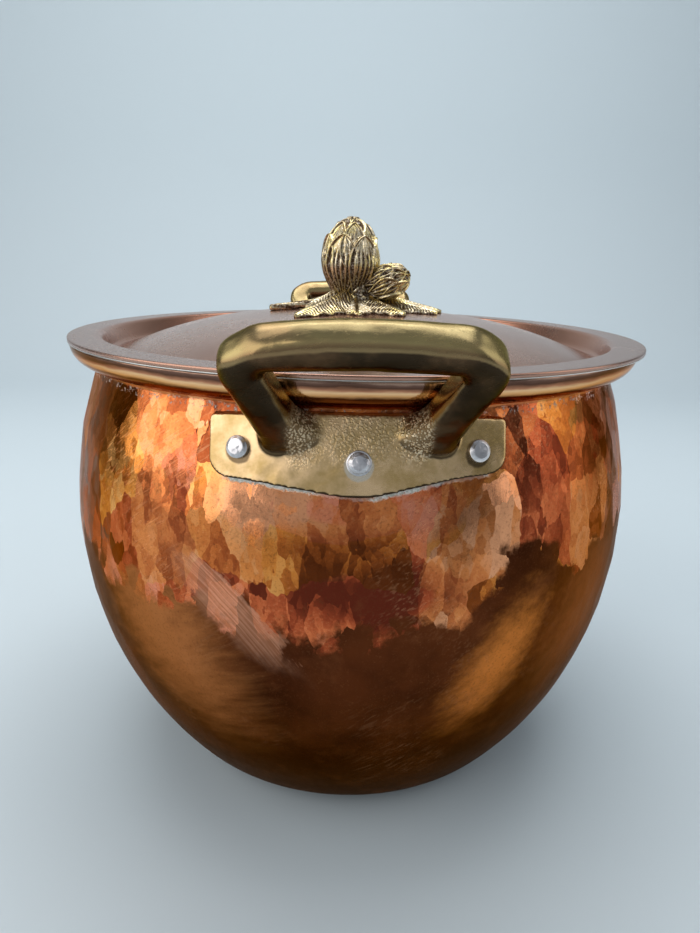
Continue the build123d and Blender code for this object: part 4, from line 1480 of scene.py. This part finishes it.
def makeStage():
    # A pale floor that curves up into a backdrop: flat, then a quarter circle, then upright.
    bend = np.linspace(0.1, np.pi / 2, 12)
    depth = np.concatenate([np.linspace(-1.2, 0.9, 22), 0.9 + 0.5 * np.sin(bend), np.full(6, 1.4)])
    rise = np.concatenate([np.zeros(22), 0.5 - 0.5 * np.cos(bend), np.linspace(0.7, 2.2, 6)])
    across = np.linspace(-2.2, 2.2, 12)
    x, y = np.meshgrid(across, depth)
    z = np.repeat(rise[:, None], len(across), axis=1) - 0.0003
    floor = newPiece("floor", np.stack([x, y, z], axis=-1), gridFaces(len(depth), len(across), False).tolist())
    wear(floor, newPaint("paleStage").finish(Base_Color=studio["floor"], Roughness=0.75))


def addLamp(name, place, target, size, power, colour):
    data = bpy.data.lights.new(name, "AREA")
    data.shape = "RECTANGLE"
    data.size, data.size_y = size
    data.energy = power
    data.color = colour
    lamp = bpy.data.objects.new(name, data)
    bpy.context.scene.collection.objects.link(lamp)
    way = Vector(target) - Vector(place)
    lamp.matrix_world = Matrix.Translation(place) @ way.to_track_quat("-Z", "Y").to_matrix().to_4x4()


# The camera, fitted to the photograph. The focal length and the frame's height are in pixels.
view = {
    "focal": 668.0,
    "frameHeight": 933.0,
    "sensor": 36,
    "distance": 326.95 * mm,
    "height": 233.87 * mm,
    "pitch": 17.40,
    "roll": 1.30,
    "yaw": 0.05,
    "around": -1.2,
}


def makeCamera():
    data = bpy.data.cameras.new("camera")
    data.sensor_width = view["sensor"]
    data.lens = view["focal"] / view["frameHeight"] * view["sensor"]
    data.clip_start = 10 * mm
    camera = bpy.data.objects.new("camera", data)
    bpy.context.scene.collection.objects.link(camera)
    turned = Matrix.Rotation(math.radians(view["around"]), 4, "Z")
    place = Matrix.Translation((0, -view["distance"], view["height"]))
    yaw = Matrix.Rotation(math.radians(view["yaw"]), 4, "Z")
    aim = yaw @ Matrix.Rotation(math.radians(90 - view["pitch"]), 4, "X")
    camera.matrix_world = turned @ place @ aim @ Matrix.Rotation(math.radians(view["roll"]), 4, "Z")
    bpy.context.scene.camera = camera


def makeWorld():
    # Dim at the horizon, and brighter overhead and in front of the pot, as in a room lit from above.
    world = bpy.data.worlds.new("studio")
    bpy.context.scene.world = world
    p = Paint(world)
    way = p.node("ShaderNodeTexCoord", {}, {}, "Generated")
    fade = p.node("ShaderNodeMapRange", {}, {
        "Value": p.axis(way, "Z"), "From Min": -0.1, "From Max": 0.9,
        "To Min": studio["horizon"], "To Max": studio["overhead"],
    })
    front = p.node("ShaderNodeMapRange", {}, {
        "Value": p.axis(way, "Y"), "From Min": -0.62, "From Max": -0.95, "To Max": studio["front"],
    })
    sky = p.node("ShaderNodeBackground", {}, {"Color": studio["sky"], "Strength": fade + front})
    p.node("ShaderNodeOutputWorld", {}, {"Surface": sky})


makeStage()
makeWorld()
for lamp in lamps:
    addLamp(*lamp)
makeCamera()
bpy.context.scene.view_settings.view_transform = "Standard"
print("Stage, light and camera made")
